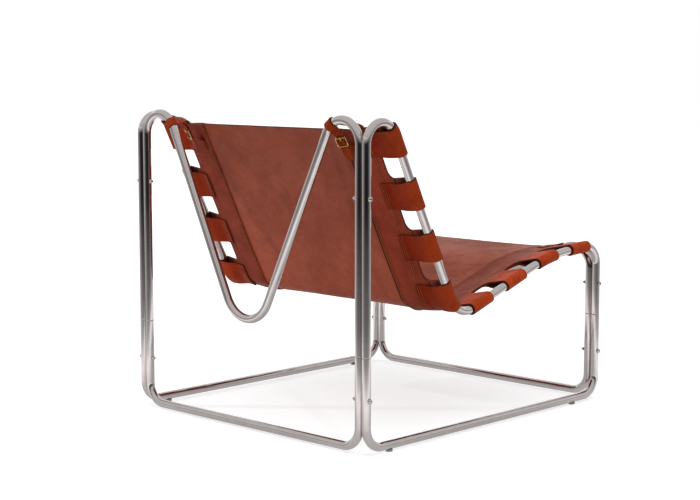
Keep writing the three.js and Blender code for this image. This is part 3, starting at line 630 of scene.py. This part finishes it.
BACK_START, SEAT_BEND, FRONT_BEND = (SIDE.pieces[i][0] for i in (2, 3, 7))
BACK_TABS = tab_row(BACK_START - 20, SEAT_BEND + 31)
SEAT_TABS = tab_row(SEAT_BEND + SIDE.pieces[3][4] - 6.5, FRONT_BEND + 7)
TABS = BACK_TABS + SEAT_TABS
TOP, TIP = TABS[0][0], TABS[-1][1]
BACK_END = BACK_TABS[-1][1]
FOLD = (BACK_END + SEAT_TABS[0][0]) / 2
FILLET = 12
CUT_UPPER, CUT_LOWER = 8, 20
SQUEEZE = EDGE - 30
WRAP_R = TUBE_R + 0.6 + LEATHER / 2
LEAN = asin(WRAP_R / 60)


def smooth(t):
    t = np.clip(t, 0, 1)
    return t * t * (3 - 2 * t)


def hump(x, middle, reach):
    return np.exp(-((x - middle) / reach) ** 2)


def sag_at(d, x):
    """How far the sheet hangs behind the tubes' middle, with the soft waves of a used seat."""
    depth = SAG_FOLD + (SAG_RUN - SAG_FOLD) * smooth(np.abs(d - FOLD) / FOLD_REACH)
    share = 1 - np.minimum(np.abs(x) / EDGE, 1) ** FLATNESS
    fade = 1 - smooth((np.abs(x) - 250) / 55)
    down = (d - TOP) / (TIP - TOP)
    waves = 0.9 * np.sin(7.1 * down + 0.011 * x + 0.7) + 0.6 * np.sin(15.7 * down - 0.017 * x)
    ridge = 0.7 * hump(np.abs(x), BAND_IN, 7)
    pulled = 4 * hump(np.abs(x), 275, 20) * (1 - smooth((d - TOP) / 60))
    crease = 1.5 * hump(d, FOLD - 28 - 0.00025 * x * x, 9)
    crease = crease - 1.2 * hump(d, FOLD + 4 - 0.0004 * x * x, 11)
    return depth * share - ridge + pulled + fade * (0.5 * waves + crease)


def sheet_point(d, x, lift):
    """A point of the sheet's cross-section, carried to its place. lift is towards the sitter."""
    p, h = SIDE.at(d)
    q = p + left(h) * lift
    return np.array([x, -q[0], RAIL + GAP + q[1]])


def sheet_normal(d, across, lift):
    up = left(SIDE.at(d)[1])
    return norm(np.array([across, -up[0] * lift, up[1] * lift]))


def run_along(points):
    """How far along a row of points each of them is."""
    gaps = np.linalg.norm(np.diff(points, axis=0), axis=1)
    return np.concatenate([[0], np.cumsum(gaps)])


def spread(a, b, step):
    return list(np.linspace(a, b, max(1, ceil(abs(b - a) / step)) + 1))


def sheet_rows():
    """Distances along the sling, close together beside each tab's edge."""
    marks = [TOP] + [e for t in TABS for e in t if TOP < e < TIP] + [TIP]
    bow = [1 - cos(t) for t in np.linspace(0, pi / 2, 8)]
    rows = []
    for a, b in zip(marks, marks[1:]):
        if any(s - 1e-6 <= a and b <= e + 1e-6 for s, e in TABS):
            rows += [a, a + 2] + spread(a + 4.5, b - 4.5, 5.2) + [b - 2, b]
        else:
            rows += [a + s * CUT_UPPER for s in bow] + [b - s * CUT_LOWER for s in bow]
            rows += spread(a + CUT_UPPER, b - CUT_LOWER, 5.2)[1:-1]
    return np.array(sorted(set(np.round(rows, 6))))


ROWS = sheet_rows()


def tab_of(first, last=None):
    """The number of the tab that holds a distance or a run of them, or None."""
    last = first if last is None else last
    for k, (a, b) in enumerate(TABS):
        if a - 1e-6 <= first and last <= b + 1e-6:
            return k
    return None


def edge_of(d):
    """Where the panel ends beside a cut-out: rounded into the tabs at both ends."""
    if tab_of(d) is not None:
        return EDGE + FILLET
    upper = min((d - end) / CUT_UPPER for _, end in TABS if end < d)
    lower = min((begin - d) / CUT_LOWER for begin, _ in TABS if begin > d)
    bow = 1 - min(upper, lower, 1)
    return EDGE + FILLET * (1 - sqrt(max(1 - bow * bow, 0)))


def creep(side, d, x, past=0):
    """How far the leather has slipped down the sling. Wear has pulled the left side lower.

    past is the share of the way from the tube to a tab's sewn end.
    """
    slip = TAB_SLIP[side] * past
    if side > 0:
        slip += LEFT_CREEP * smooth((d - TOP) / TAB) * smooth((x - BAND_IN) / (EDGE - BAND_IN))
    return slip * (1 - smooth((d - BACK_END) / 45))


def place_column(d, q):
    """Squeezes the panel's outer columns behind a cut-out's rounded edge."""
    if q <= SQUEEZE:
        return q
    return SQUEEZE + (q - SQUEEZE) * (edge_of(d) - SQUEEZE) / (EDGE + FILLET - SQUEEZE)


def front_lift(d, x):
    """Lift of the sitter's side layer: the hanging panel, then the straight pull to the tube."""
    if x <= EDGE:
        return -float(sag_at(d, x))
    return (x - EDGE) * tan(LEAN)


def tab_curve(k):
    """The tab's way round the tube and back over the band, as (x, lift) points."""
    rng = np.random.default_rng(40 + k)
    bulge, slack = rng.uniform(0.3, 1.5), rng.uniform(-0.5, 0.7)
    begin = np.array([EDGE + FILLET, FILLET * tan(LEAN)])
    tangent = np.array([SIDE_X - WRAP_R * sin(LEAN), WRAP_R * cos(LEAN)])
    points = [tuple(begin + (tangent - begin) * t) for t in np.linspace(0, 1, 10)[1:-1]]
    points += oval((SIDE_X, 0), (WRAP_R, WRAP_R), pi / 2 + LEAN, -pi / 2 - 0.04, 22)
    over = -(LEATHER + BAND + 3 * GAP)
    for t in np.linspace(0, 1, 13)[1:]:
        lift = -WRAP_R + (over - 0.4 + WRAP_R) * smooth(t * 0.92 + 0.04)
        lift -= bulge * sin(pi * t) ** 2 * (1 - 0.4 * t)
        lift += slack * 0.4 * sin(2 * pi * t)
        points.append((SIDE_X + (EDGE - SIDE_X) * t, lift))
    return points, over


LAP = np.linspace(EDGE, EDGE - OVERLAP, 9)[1:]
PANEL_COLUMNS = np.array(sorted(set(
    spread(0, 222, 7.4) + spread(222, 242, 2.5) + spread(242, SQUEEZE, 6)
    + spread(SQUEEZE, EDGE, 4) + spread(EDGE, EDGE + FILLET, 2.3))))
CURVES = [tab_curve(k) for k in range(len(TABS))]
ROUND = len(CURVES[0][0]) - 12


def droop(side, d, past):
    """A back tab's upper edge hangs down between the tube and the seam."""
    if d > BACK_END:
        return 0
    a, b = TABS[tab_of(d)]
    share = 1 - 0.75 * (d - a) / (b - a)
    return TAB_DROOP[side] * share * sin(pi * min(past / 0.85, 1))


def lap_lift(over, at, x):
    """The sewn end of a tab lies on the band behind the panel."""
    return over - float(sag_at(at, x)) - 0.4 * (x - EDGE + OVERLAP) / OVERLAP


def rounded_end(d, middle, x, at, corner=2.5):
    left_over = x - (EDGE - OVERLAP)
    if left_over >= corner:
        return at
    inset = corner - sqrt(max(corner ** 2 - (corner - left_over) ** 2, 0))
    return at - (d - middle) * inset / (TAB / 2)


def section_at(side, d):
    """Every column of half the sheet, as (x, lift, distance along the sling)."""
    out = []
    for q in PANEL_COLUMNS:
        x = place_column(d, q)
        at = d + creep(side, d, x)
        out.append((x, front_lift(at, x), at))
    k = tab_of(d)
    if k is None:
        return np.array(out)
    curve, over = CURVES[k]
    middle = sum(TABS[k]) / 2
    for i, (x, lift) in enumerate(curve + [(x, None) for x in LAP]):
        past = (SIDE_X - x) / (SIDE_X - EDGE + OVERLAP) if i >= ROUND else 0
        at = middle + (d - middle) * (1 - 0.055 * past)
        at += creep(side, d, EDGE, past) + droop(side, d, past)
        if lift is None:
            at, lift = rounded_end(d, middle, x, at), lap_lift(over, at, x)
        out.append((x, lift, at))
    return np.array(out)


def section_normals(pts):
    before = 2 * pts[0] - pts[1]
    if abs(pts[0][0]) < 1e-6:
        before = pts[1] * (-1, 1)
    t = norm(np.vstack([pts[1:], 2 * pts[-1] - pts[-2]]) - np.vstack([before, pts[:-1]]))
    return np.stack([-t[:, 1], t[:, 0]], axis=1)


class Grid:
    """A sheet's points, normals and places on the leather, filled in one by one."""

    def __init__(self, cols):
        self.points, self.normals = np.zeros((2, len(ROWS), cols, 3))
        self.uv = np.zeros((len(ROWS), cols, 2))
        self.has = np.ones((len(ROWS), cols), bool)

    def put(self, i, j, side, x, lift, normal, at, run):
        self.points[i, j] = sheet_point(at, side * x, lift)
        self.normals[i, j] = sheet_normal(at, side * normal[0], normal[1])
        self.uv[i, j] = (side * run + 1000, ROWS[i])

    def piece(self, name, thick, round_over, *materials):
        obj = thick_sheet(name, self.points, self.normals, thick / 2, self.has, self.uv)
        add_bevel(obj, round_over)
        paint(obj, *materials)
        return obj


def build_sling():
    mid = len(PANEL_COLUMNS) + len(CURVES[0][0]) + len(LAP) - 1
    grid = Grid(2 * mid + 1)
    grid.has[:] = False
    for i, d in enumerate(ROWS):
        for side in (1, -1):
            section = section_at(side, d)
            pts = section[:, :2]
            normals = section_normals(pts)
            run = run_along(pts)
            for j, (x, lift, at) in enumerate(section):
                grid.put(i, mid + side * j, side, x, lift, normals[j], at, run[j])
    for i in range(len(ROWS) - 1):
        wrapped = tab_of(ROWS[i], ROWS[i + 1]) is not None
        reach = mid if wrapped else len(PANEL_COLUMNS) - 1
        grid.has[i, mid - reach:mid + reach] = True
    sling = grid.piece("leather_sling", LEATHER, 0.55, GRAIN, FLESH, RAW_EDGE)
    return settle(sling, "sling_leather", "sling"), run[-1]


sling, half_girth = build_sling()


def band_lift(side, d, x):
    """The band lies behind the panel. Its inner edge curls off it, more so on the right."""
    curl = BAND_CURL[side] * (0.8 + 0.2 * sin(d / 60))
    return -(LEATHER / 2 + GAP + BAND / 2) - curl * hump(x, BAND_INNER[side], 7)


def build_band(name, side):
    inner = BAND_INNER[side]
    columns = [inner, inner + 2] + [q for q in PANEL_COLUMNS if q >= inner + 4]
    grid = Grid(len(columns))
    for i, d in enumerate(ROWS):
        places = [place_column(d, q) - 0.3 * (q > SQUEEZE) for q in columns]
        along = [d + creep(side, d, x) for x in places]
        pts = np.array([(x, front_lift(at, x)) for x, at in zip(places, along)])
        normals = section_normals(pts)
        normals[0] = normals[1]
        for j, (place, at) in enumerate(zip(places, along)):
            x, lift = pts[j] + normals[j] * band_lift(side, at, place)
            grid.put(i, j, side, x, lift, normals[j], at, place)
    # The right band's edges take the dark edge colour as painted shade, as they face away from the
    # light; the left band keeps the band's own lighter edge colour.
    edge = RAW_EDGE if side < 0 else BAND_EDGE
    band = grid.piece(f"edge_band_{name}", BAND, 0.45, BAND_LEATHER, BAND_LEATHER, edge)
    return settle(band, "sling_leather", f"sling_band_{name}")


bands = [build_band("right", -1), build_band("left", 1)]


# Stitching ------------------------------------------------

def stitch(verts, faces, a, b, up, radius=0.42, sides=6):
    """A short thread that dips into the leather at both ends."""
    across = norm(np.cross(b - a, up))
    start = len(verts)
    stations = [(0, -0.5), (0.15, 0.1), (0.5, 0.32), (0.85, 0.1), (1, -0.5)]
    for t, rise in stations:
        centre = a + (b - a) * t + up * rise
        for w in around(sides):
            verts.append(centre + radius * (across * cos(w) + up * sin(w)))
    faces += rings_to_faces(len(stations), sides, start=start)
    faces.append(tuple(start + k for k in reversed(range(sides))))
    faces.append(tuple(len(verts) - sides + k for k in range(sides)))


def lap_over(side, at):
    """The lift of the tab whose sewn end covers this distance, or None between tabs."""
    for (begin, end), (_, over) in zip(TABS, CURVES):
        middle = (begin + end) / 2 + creep(side, (begin + end) / 2, EDGE, 1)
        if abs(at - middle) < TAB / 2 * 0.945 - 1:
            return over
    return None


def build_stitching():
    """Two rows beside the band's inner edge, and two through the tabs' sewn ends."""
    verts, faces = [], []
    pitch, length, sunk = 4.2, 3.3, 0.05
    beside, sewn = (3.7, 8.2), (298, 304)
    for row in beside + sewn:
        for d0 in np.arange(TOP + 3, TIP - 6, pitch):
            ends = (d0, d0 + length)
            middle = sum(ends) / 2
            up = sheet_normal(middle, 0, 1)
            for side in (1, -1):
                x = row if row in sewn else BAND_INNER[side] + row
                panel = [front_lift(d, x) for d in ends]
                front = [lift + LEATHER / 2 - sunk for lift in panel]
                back = [lift + band_lift(side, d, x) - BAND / 2 + sunk
                        for d, lift in zip(ends, panel)]
                over = lap_over(side, middle) if row in sewn else None
                if over is not None:
                    back = [lap_lift(over, d, x) - LEATHER / 2 + sunk for d in ends]
                for lifts, out in ((front, up), (back, -up)):
                    a, b = (sheet_point(d, side * x, lift) for d, lift in zip(ends, lifts))
                    stitch(verts, faces, a, b, out)
    rows = mesh_object("sling_stitching", verts, faces, sharp=80)
    return settle(rows, "sling_leather", None, THREAD)


stitching = build_stitching()


# Belts ----------------------------------------------------

BELT_W, BELT_T, CHAPE_T = 20, 2, 1.2
BELT_X, SEWN, TAIL = SIDE_X - 109, 45, 40
BUCKLE_W, BUCKLE_L, BAR, TOP_BAR = 27, 24, 2.6, 4.2
DROP, STANDOFF, YAW = 12, 38, 22
BAR_SPACE = (BUCKLE_L - BAR) / 2
FOLD_R = BAR / 2 + 0.2 + CHAPE_T


def loop_point(line, across):
    """The point and heading where a loop's line passes a distance from the middle."""
    low, high = line.pieces[1][0], line.length / 2
    for _ in range(50):
        m = (low + high) / 2
        if -line.at(m)[0][0] > across:
            low = m
        else:
            high = m
    return line.at(low)


def cad_sag(d, x):
    """The sag of the CAD's plain sheet, from which the buckles are set out."""
    depth = SAG_FOLD + (SAG_RUN - SAG_FOLD) * smooth(abs(d - FOLD) / FOLD_REACH)
    cols = [0, BAND_IN / 2, BAND_IN, EDGE]
    return depth * np.interp(abs(x), cols, [1 - (c / EDGE) ** FLATNESS for c in cols])


class Corner:
    """One corner of the chair, with its buckle's own directions."""

    def __init__(self, side, end):
        self.side, self.end = side, end
        slip, self.sewn_x, self.rise = 0, BELT_X, 3
        if end > 0:
            slip, self.sewn_x, self.rise = (5 if side < 0 else -6), BELT_X + 22, 12
        p, h = loop_point(REAR if end > 0 else FRONT, BELT_X + slip)
        self.tube = np.array([side * (BELT_X + slip), end * HALF_D, RAIL + GAP + p[1]])
        slope = unit(h)
        axis = norm(np.array([side * slope[0], 0, -slope[1]]))
        self.axis = -axis if axis[0] * side < 0 else axis
        self.edge, self.inward = (TOP, 1) if end > 0 else (TIP, -1)
        self.buckle_x = BELT_X - (10 if end > 0 else 4)
        high, low = (self.on_sheet(d, self.buckle_x, 0, cad_sag) for d in (0, SEWN))
        self.down = norm(low - high)
        a = -radians(YAW) * side * end
        self.across = square(np.array([side * cos(a), side * sin(a), 0]), self.down)
        self.out = square(-sheet_normal(self.edge, 0, 1), self.down, self.across)
        self.centre = self.on_sheet(DROP, self.buckle_x, -STANDOFF, cad_sag)
        self.across_x = np.cross(-self.down, self.out)

    def on_sheet(self, depth, x, lift, sag=sag_at):
        """A point over the sheet, depth in from its end."""
        d = self.edge + self.inward * depth
        return sheet_point(d, self.side * x, lift - float(sag(d, x)))

    def view(self, point):
        """A point as a bend of no radius, seen along the buckle's bar."""
        gap = point - self.centre
        return bend(gap.dot(self.down), gap.dot(self.out))

    def off(self, down, out, across=0):
        return self.centre + self.down * down + self.out * out + self.across_x * across


# A strap's path is a list of stations, each a point and the strap's direction across.

def sewn_stations(c, x, lift, start, end):
    out = []
    for depth in spread(start, end, 3):
        inner, outer = (c.on_sheet(depth, x + s * BELT_W / 2, lift) for s in (-1, 1))
        out.append(((inner + outer) / 2, outer - inner))
    return out


def tube_stations(c, start, end):
    """Round the tube, between the tangents from a start point and to an end point."""
    to_sling = np.array([0, -c.end, 0])
    up = norm(np.cross(c.axis, to_sling))
    up = -up if up[2] < 0 else up
    r = TUBE_R + 1.3 + BELT_T / 2

    def angle(target, sign):
        gap = target - c.tube
        along, rise = gap.dot(to_sling), gap.dot(up)
        return atan2(rise, along) + sign * acos(r / hypot(along, rise))

    turns = np.linspace(angle(start, 1), angle(end, -1) + 2 * pi, 26)
    return [(c.tube + r * (to_sling * cos(t) + up * sin(t)), c.axis) for t in turns]


def threaded(c, line, start):
    distances = line.stations(radians(9), 3, start)
    return [(c.off(*line.at(d)[0]), c.across) for d in distances]


def between(a, b, count):
    """Stations that go evenly from one to another, without these two."""
    return [tuple(u * (1 - t) + v * t for u, v in zip(a, b))
            for t in np.linspace(0, 1, count)[1:-1]]


def soften(stations, passes):
    """Rounds the kinks of a strap's path, and leaves its two ends where they are."""
    p = np.array([s[0] for s in stations])
    a = np.array([norm(s[1]) for s in stations])
    for _ in range(passes):
        for v in (p, a):
            v[1:-1] = (v[:-2] + 2 * v[1:-1] + v[2:]) / 4
    return list(zip(p, a))


def belt_stations(c):
    half = BELT_T / 2
    sewn = sewn_stations(c, c.sewn_x, LEATHER / 2 + GAP + half, SEWN, -c.rise)
    under = BAR * sqrt(0.5) + GAP + half
    line = Line([
        c.view(c.tube), bend(-BAR_SPACE, 0, TOP_BAR / 2 + GAP + half, 1),
        bend(0, 0, FOLD_R + GAP + half, -1), bend(BAR_SPACE, 0, under, 1),
        bend(BAR_SPACE + TAIL, -under - half),
    ])
    last = threaded(c, line, line.pieces[1][0] - 4)
    wrap = tube_stations(c, sewn[-1][0], last[0][0])
    bridge = between(sewn[-1], (wrap[0][0], c.axis * np.linalg.norm(sewn[-1][1])), 9)
    first = soften(sewn + bridge + wrap[:6], 5)
    return first[:-6] + wrap + between(wrap[-1], last[0], 7) + last


def chape_stations(c):
    under = -(LEATHER / 2 + BAND + 2 * GAP + CHAPE_T / 2)
    start = DROP + STANDOFF
    sewn = sewn_stations(c, c.buckle_x, under, start + 26, start)
    leg = c.view(sewn[-1][0])
    fold = Line([leg, bend(0, 0, FOLD_R - CHAPE_T / 2, -1), bend(*(norm(leg[0]) * 9))])
    bar = fold.pieces[1][0]
    leg_part = [(c.off(*fold.at(d)[0]), c.across) for d in spread(0, bar, 3)]
    return soften(sewn + leg_part[1:-2], 4) + leg_part[-2:] + threaded(c, fold, bar)[1:]


def strap(name, stations, thick, tip=0):
    """A strap with rounded edges. tip rounds its last end over that length."""
    points, across = (np.array(v) for v in zip(*stations))
    steps = run_along(points)
    length = steps[-1]
    keep = np.diff(steps, prepend=-1) > 0.05
    points, across = points[keep], across[keep]
    steps = run_along(points)
    total = steps[-1]
    if tip:
        extra = total - tip * (1 - np.sin(np.linspace(0, pi / 2, 9)))
        kept = steps[steps < total - tip - 0.5]
        new = np.array(sorted(set(np.round([*kept, *extra], 5))))
        points, across = (np.stack([np.interp(new, steps, v[:, k]) for k in range(3)], 1)
                          for v in (points, across))
        steps = new
    shares = np.array([-1, -0.97, -0.9, -0.6, -0.2, 0.2, 0.6, 0.9, 0.97, 1])
    full = np.array([0.45, 0.8, 1, 1, 1, 1, 1, 1, 0.8, 0.45])
    legs = norm(np.diff(points, axis=0))
    tangents = norm(np.vstack([legs[:1], legs]) + np.vstack([legs, legs[-1:]]))
    across = square(across, tangents)
    widths = np.full((len(points), 1), BELT_W / 2)
    if tip:
        u = (steps[steps > total - tip, None] - total + tip) / tip
        widths[-len(u):] *= np.sqrt(np.maximum(1 - u * u, 0)) * 0.72 + 0.28 * (1 - u) + 0.04
    offsets = shares * widths
    grid = points[:, None] + offsets[..., None] * across[:, None]
    normals = np.cross(tangents, across)[:, None]
    half = np.tile(thick / 2 * full, (len(points), 1))
    half[[0, -1]] *= 0.6
    uv = np.stack(np.broadcast_arrays(offsets, steps[:, None]), 2)
    return thick_sheet(name, grid, normals, half, np.ones(offsets.shape, bool), uv), length


def punch(obj, c, down, length, width=3.6, depth=24, sides=32):
    """Cuts a slot with round ends through a strap, in the buckle's directions."""
    r = width / 2
    straight = max(length / 2 - r, 0)
    verts = []
    for z in (-depth / 2, depth / 2):
        for a in np.linspace(0, 2 * pi, sides, endpoint=False):
            y = r * sin(a)
            y += straight if y > 0 else -straight
            verts.append(c.off(down + y, z, r * cos(a)))
    ends = [tuple(reversed(range(sides))), tuple(range(sides, 2 * sides))]
    cutter = mesh_object("cutter", verts, ends + rings_to_faces(2, sides))
    cutter.data.shade_flat()
    m = obj.modifiers.new("hole", "BOOLEAN")
    m.object, m.operation, m.solver = cutter, "DIFFERENCE", "EXACT"
    bpy.context.view_layer.update()
    depsgraph = bpy.context.evaluated_depsgraph_get()
    cut = bpy.data.meshes.new_from_object(obj.evaluated_get(depsgraph), depsgraph=depsgraph)
    obj.modifiers.clear()
    obj.data = cut
    bpy.data.objects.remove(cutter)


def sweep_wire(points, radius_x, radius_y, ups, sides=16, closed=False, power=1):
    """A wire of oval section along points. ups gives radius_y's direction at each of them, and
    a radius may differ from point to point."""
    points = np.array(points)
    if closed:
        ahead, behind = np.roll(points, -1, 0), np.roll(points, 1, 0)
    else:
        ahead, behind = np.vstack([points[1:], points[-1:]]), np.vstack([points[:1], points[:-1]])
    tangents = norm(ahead - behind)
    ups = square(np.array(ups), tangents)
    verts = points[:, None]
    for axis, radius, wave in ((np.cross(tangents, ups), radius_x, np.cos(around(sides))),
                               (ups, radius_y, np.sin(around(sides)))):
        reach = np.reshape(radius, (-1, 1)) * np.sign(wave) * np.abs(wave) ** power
        verts = verts + axis[:, None] * reach[..., None]
    faces = rings_to_faces(len(points), sides, closed)
    if not closed:
        faces.append(tuple(reversed(range(sides))))
        faces.append(tuple(range((len(points) - 1) * sides, len(points) * sides)))
    return verts.reshape(-1, 3), faces


def buckle_piece(name, c):
    """A wire frame with a middle bar, and two short rollers on its top bar beside the notch."""
    bar, r, notch = BAR / 2, 3, 2
    half_w = (BUCKLE_W - BAR) / 2
    path = []
    for quarter, (x, y) in enumerate(((1, 1), (-1, 1), (-1, -1), (1, -1))):
        for a in np.radians(np.linspace(90 * quarter, 90 * quarter + 90, 9)):
            across, down = x * (half_w - r) + r * cos(a), y * (BAR_SPACE - r) + r * sin(a)
            path.append(c.off(down, 0, across))
    middle = [c.off(0, 0, x) for x in np.linspace(-half_w, half_w, 5)]
    pieces = [
        sweep_wire(path, bar * 0.96, bar * 0.96, [c.out] * len(path), closed=True, power=0.85),
        sweep_wire(middle, bar * 0.94, bar * 0.94, [c.out] * 5),
    ]
    reach = BUCKLE_W / 2 - bar * 1.3
    radii = TOP_BAR / 2 * 0.98 * np.array([0.86, 1, 1, 0.86])
    for s in (-1, 1):
        ends = (notch, notch + 0.35, reach - 0.35, reach)
        points = [c.off(-BAR_SPACE, 0, s * x) for x in ends]
        pieces.append(sweep_wire(points, radii, radii, [c.out] * 4, 24))
    verts, faces = np.zeros((0, 3)), []
    for v, f in pieces:
        faces += [tuple(len(verts) + i for i in face) for face in f]
        verts = np.vstack([verts, v])
    return mesh_object(name, verts, faces, sharp=50)


def prong_piece(name, c):
    """A flat wire bent into an eye round the middle bar, whose tip lies in the notch."""
    wall = 1.1
    eye_r = BAR / 2 + 0.2 + wall / 2
    rest = BAR / 2 + GAP + wall / 2
    tip = BAR_SPACE + TOP_BAR / 2 + 1
    path, ups = [], []
    for a in np.radians(np.linspace(-210, 128, 34)):
        ups.append((-cos(a), sin(a)))
        path.append((eye_r * ups[-1][0], eye_r * ups[-1][1]))
    x0, y0 = path[-1]
    for t in np.linspace(0, 1, 14)[1:]:
        y = y0 + (rest - y0) * smooth(t * 1.7)
        if t > 0.82:
            y -= 0.35 * ((t - 0.82) / 0.18) ** 2
        path.append((-(abs(x0) + (tip - abs(x0)) * t), y))
        ups.append((0, 1))
    points = [c.off(x, y) for x, y in path]
    ups = [c.down * x + c.out * y for x, y in ups]
    verts, faces = sweep_wire(points, 1.15, wall / 2, ups, power=0.6)
    return mesh_object(name, verts, faces, sharp=50)


def strap_stitches(name, c, lift, start, end):
    """Two rows of stitches down a belt's sewn end, and one across it at both ends."""
    verts, faces = [], []
    inset, pitch, length = 2.6, 3.6, 2.8
    up = sheet_normal(c.edge, 0, 1)
    rails = [c.sewn_x + s * (BELT_W / 2 - inset) for s in (-1, 1)]
    threads = [((d, rail), (d + length, rail)) for rail in rails
               for d in np.arange(start, end - 3.2, pitch)]
    threads += [((d, x), (d, x + length)) for d in (start + 0.4, end - 0.8)
                for x in np.arange(rails[0] + 0.8, rails[1] - 2.8, pitch)]
    for a, b in threads:
        stitch(verts, faces, c.on_sheet(*a, lift), c.on_sheet(*b, lift), up, 0.36)
    settle(mesh_object(name, verts, faces, sharp=80), "belt_leather", None, THREAD)


for key, side, end in CORNERS:
    c = Corner(side, end)
    belt, length = strap(f"strap_{key}", belt_stations(c), BELT_T, tip=15)
    belt.data.materials.clear()
    paint(belt, BELT_LEATHER)
    slot_from, slot_to = -BAR_SPACE + TOP_BAR / 2 + GAP, -FOLD_R / 4
    punch(belt, c, (slot_from + slot_to) / 2, slot_to - slot_from + 1)
    for hole in (19, 31):
        punch(belt, c, BAR_SPACE + hole, 3, 3)
    settle(belt, "belt_leather", f"belt_{key}")

    keeper, length = strap(f"keeper_strap_{key}", chape_stations(c), CHAPE_T)
    paint(keeper, BELT_LEATHER, BELT_LEATHER, RAW_EDGE)
    punch(keeper, c, -FOLD_R / 2, 3 * FOLD_R)
    settle(keeper, "belt_leather", f"chape_{key}")

    buckle = buckle_piece(f"wire_buckle_{key}", c)
    settle(buckle, "buckle_brass", f"buckle_{key}", BRASS)
    prong = prong_piece(f"tongue_{key}", c)
    settle(prong, "buckle_brass", f"prong_{key}", BRASS, body=f"{key}_pin")
    lift = LEATHER / 2 + GAP + BELT_T - 0.05
    strap_stitches(f"strap_stitches_{key}", c, lift, 2, SEWN - 1.5)


# Camera ---------------------------------------------------

def turn_to(obj, direction):
    obj.rotation_euler = Vector(direction).to_track_quat("-Z", "Y").to_euler()


camera = add_object("camera", bpy.data.cameras.new("camera"))
camera.data.sensor_width = 36
camera.data.lens = 82.045
camera.location = (-2.6909, 2.8720, 0.8504)
turn_to(camera, (0.6891, -0.7150, -0.1178))
bpy.context.scene.camera = camera


# Stage and light ------------------------------------------

def room_level(t, direction):
    """What a reflection finds at the horizon: the room is dark behind the camera only."""
    to_camera = (-0.684, 0.730, 0)
    facing = outputs(t, "VectorMath", direction, to_camera, operation="DOT_PRODUCT")["Value"]
    share = calc(t, "ADD", times(t, facing, 0.5), 0.5)
    return ramp(t, share, (0.07, 1), (0.5, 0.42), (0.74, 0.22), (0.88, 0.045), (1, 0.02))


def empty_tree(block):
    block.use_nodes = True
    block.node_tree.nodes.clear()
    return block.node_tree, outputs(block.node_tree, "LightPath")


def floor_material():
    """White to the camera, with the chair's soft shadow kept, and a plain floor to light."""
    m = bpy.data.materials.new("studio_floor")
    t, ray = empty_tree(m)
    co = object_coords(t)
    radius = outputs(t, "VectorMath", co, operation="LENGTH")["Value"]
    plain = node(t, "BsdfDiffuse", Color=(0.9, 0.9, 0.9))
    darker = node(t, "BsdfDiffuse", Color=(0.675, 0.698, 0.705))
    glow = node(t, "Emission", Strength=step(t, radius, 1, 2.4, 0.62, 1))
    lit = node(t, "AddShader", darker, glow)
    seen = calc(t, "MAXIMUM", ray["Is Camera Ray"], ray["Is Transmission Ray"])
    diffuse = node(t, "MixShader", seen, plain, lit)
    direction = node(t, "VectorMath", co, operation="NORMALIZE")
    share = calc(t, "DIVIDE", radius, 6)
    # What reflections see of the floor: painted shade under and close round the chair, a brighter
    # ring beyond, then the room's level far out.
    near = ramp(t, share, (0.075, 0.62), (0.115, 0.9), (0.165, 1.4))
    far = ramp(t, share, (0.18, 0), (0.215, 0.35), (0.255, 0.68), (0.35, 0.85), (0.58, 0.93),
               (1, 1))
    level = mix_colour(t, near, room_level(t, direction), far)
    mirror = node(t, "Emission", Color=level, Strength=1)
    last = node(t, "MixShader", ray["Is Glossy Ray"], diffuse, mirror)
    outputs(t, "OutputMaterial", last)
    return m


def build_floor():
    b = bmesh.new()
    bmesh.ops.create_grid(b, x_segments=24, y_segments=24, size=14)
    mesh = bpy.data.meshes.new("floor")
    b.to_mesh(mesh)
    b.free()
    floor = add_object("floor", mesh)
    paint(floor, floor_material())


def build_world():
    """Even white surroundings. Reflections also see the dark end of the room by the camera."""
    world = bpy.data.worlds.new("studio")
    bpy.context.scene.world = world
    t, ray = empty_tree(world)
    co = outputs(t, "TexCoord")["Generated"]
    height = outputs(t, "SeparateXYZ", co)["Z"]
    above = ramp(t, height, (0.05, 0), (0.28, 0.5), (0.6, 1))
    # Bright strips high up that only reflections see: painted highlights along the chrome's bends.
    reflected_highlight_strips = ramp(t, height, (0.3, 1), (0.35, 1.45), (0.42, 1.45), (0.48, 0.82), (0.7, 0.95))
    reflected = mix_colour(t, room_level(t, co), (0.84, 0.83, 0.83), above)
    reflected = mix_colour(t, reflected, reflected_highlight_strips, 1, "MULTIPLY")
    lighting = mix_colour(t, (0.37, 0.37, 0.37), reflected, ray["Is Glossy Ray"])
    final = mix_colour(t, lighting, (1, 1, 1), ray["Is Camera Ray"])
    outputs(t, "OutputWorld", node(t, "Background", Color=final, Strength=1))


def softbox(name, location, target, size, power):
    """A square lamp that reflections don't show."""
    data = bpy.data.lights.new(name, "AREA")
    data.shape, data.size, data.energy = "SQUARE", size, power
    light = add_object(name, data)
    light.location = location
    turn_to(light, Vector(target) - Vector(location))
    light.visible_glossy = False


build_floor()
build_world()
softbox("top_softbox", (-0.6, 0.3, 3.2), (0, 0, 0.3), 3.4, 47)
AWAY, MIDDLE = 3.2, 0.35
# Azimuths count from +Y towards -X.
for name, azimuth, elevation, size, power in (
    ("key_softbox", 55, 20, 0.12, 9), ("low_softbox", 2, 7, 0.2, 10),
    ("left_softbox", -47, 28, 0.12, 17),
):
    a, e = radians(azimuth), radians(elevation)
    flat = AWAY * cos(e)
    spot = (-flat * sin(a), flat * cos(a), MIDDLE + AWAY * sin(e))
    softbox(name, spot, (0, 0, MIDDLE), size, power)

bpy.context.scene.view_settings.view_transform = "Standard"
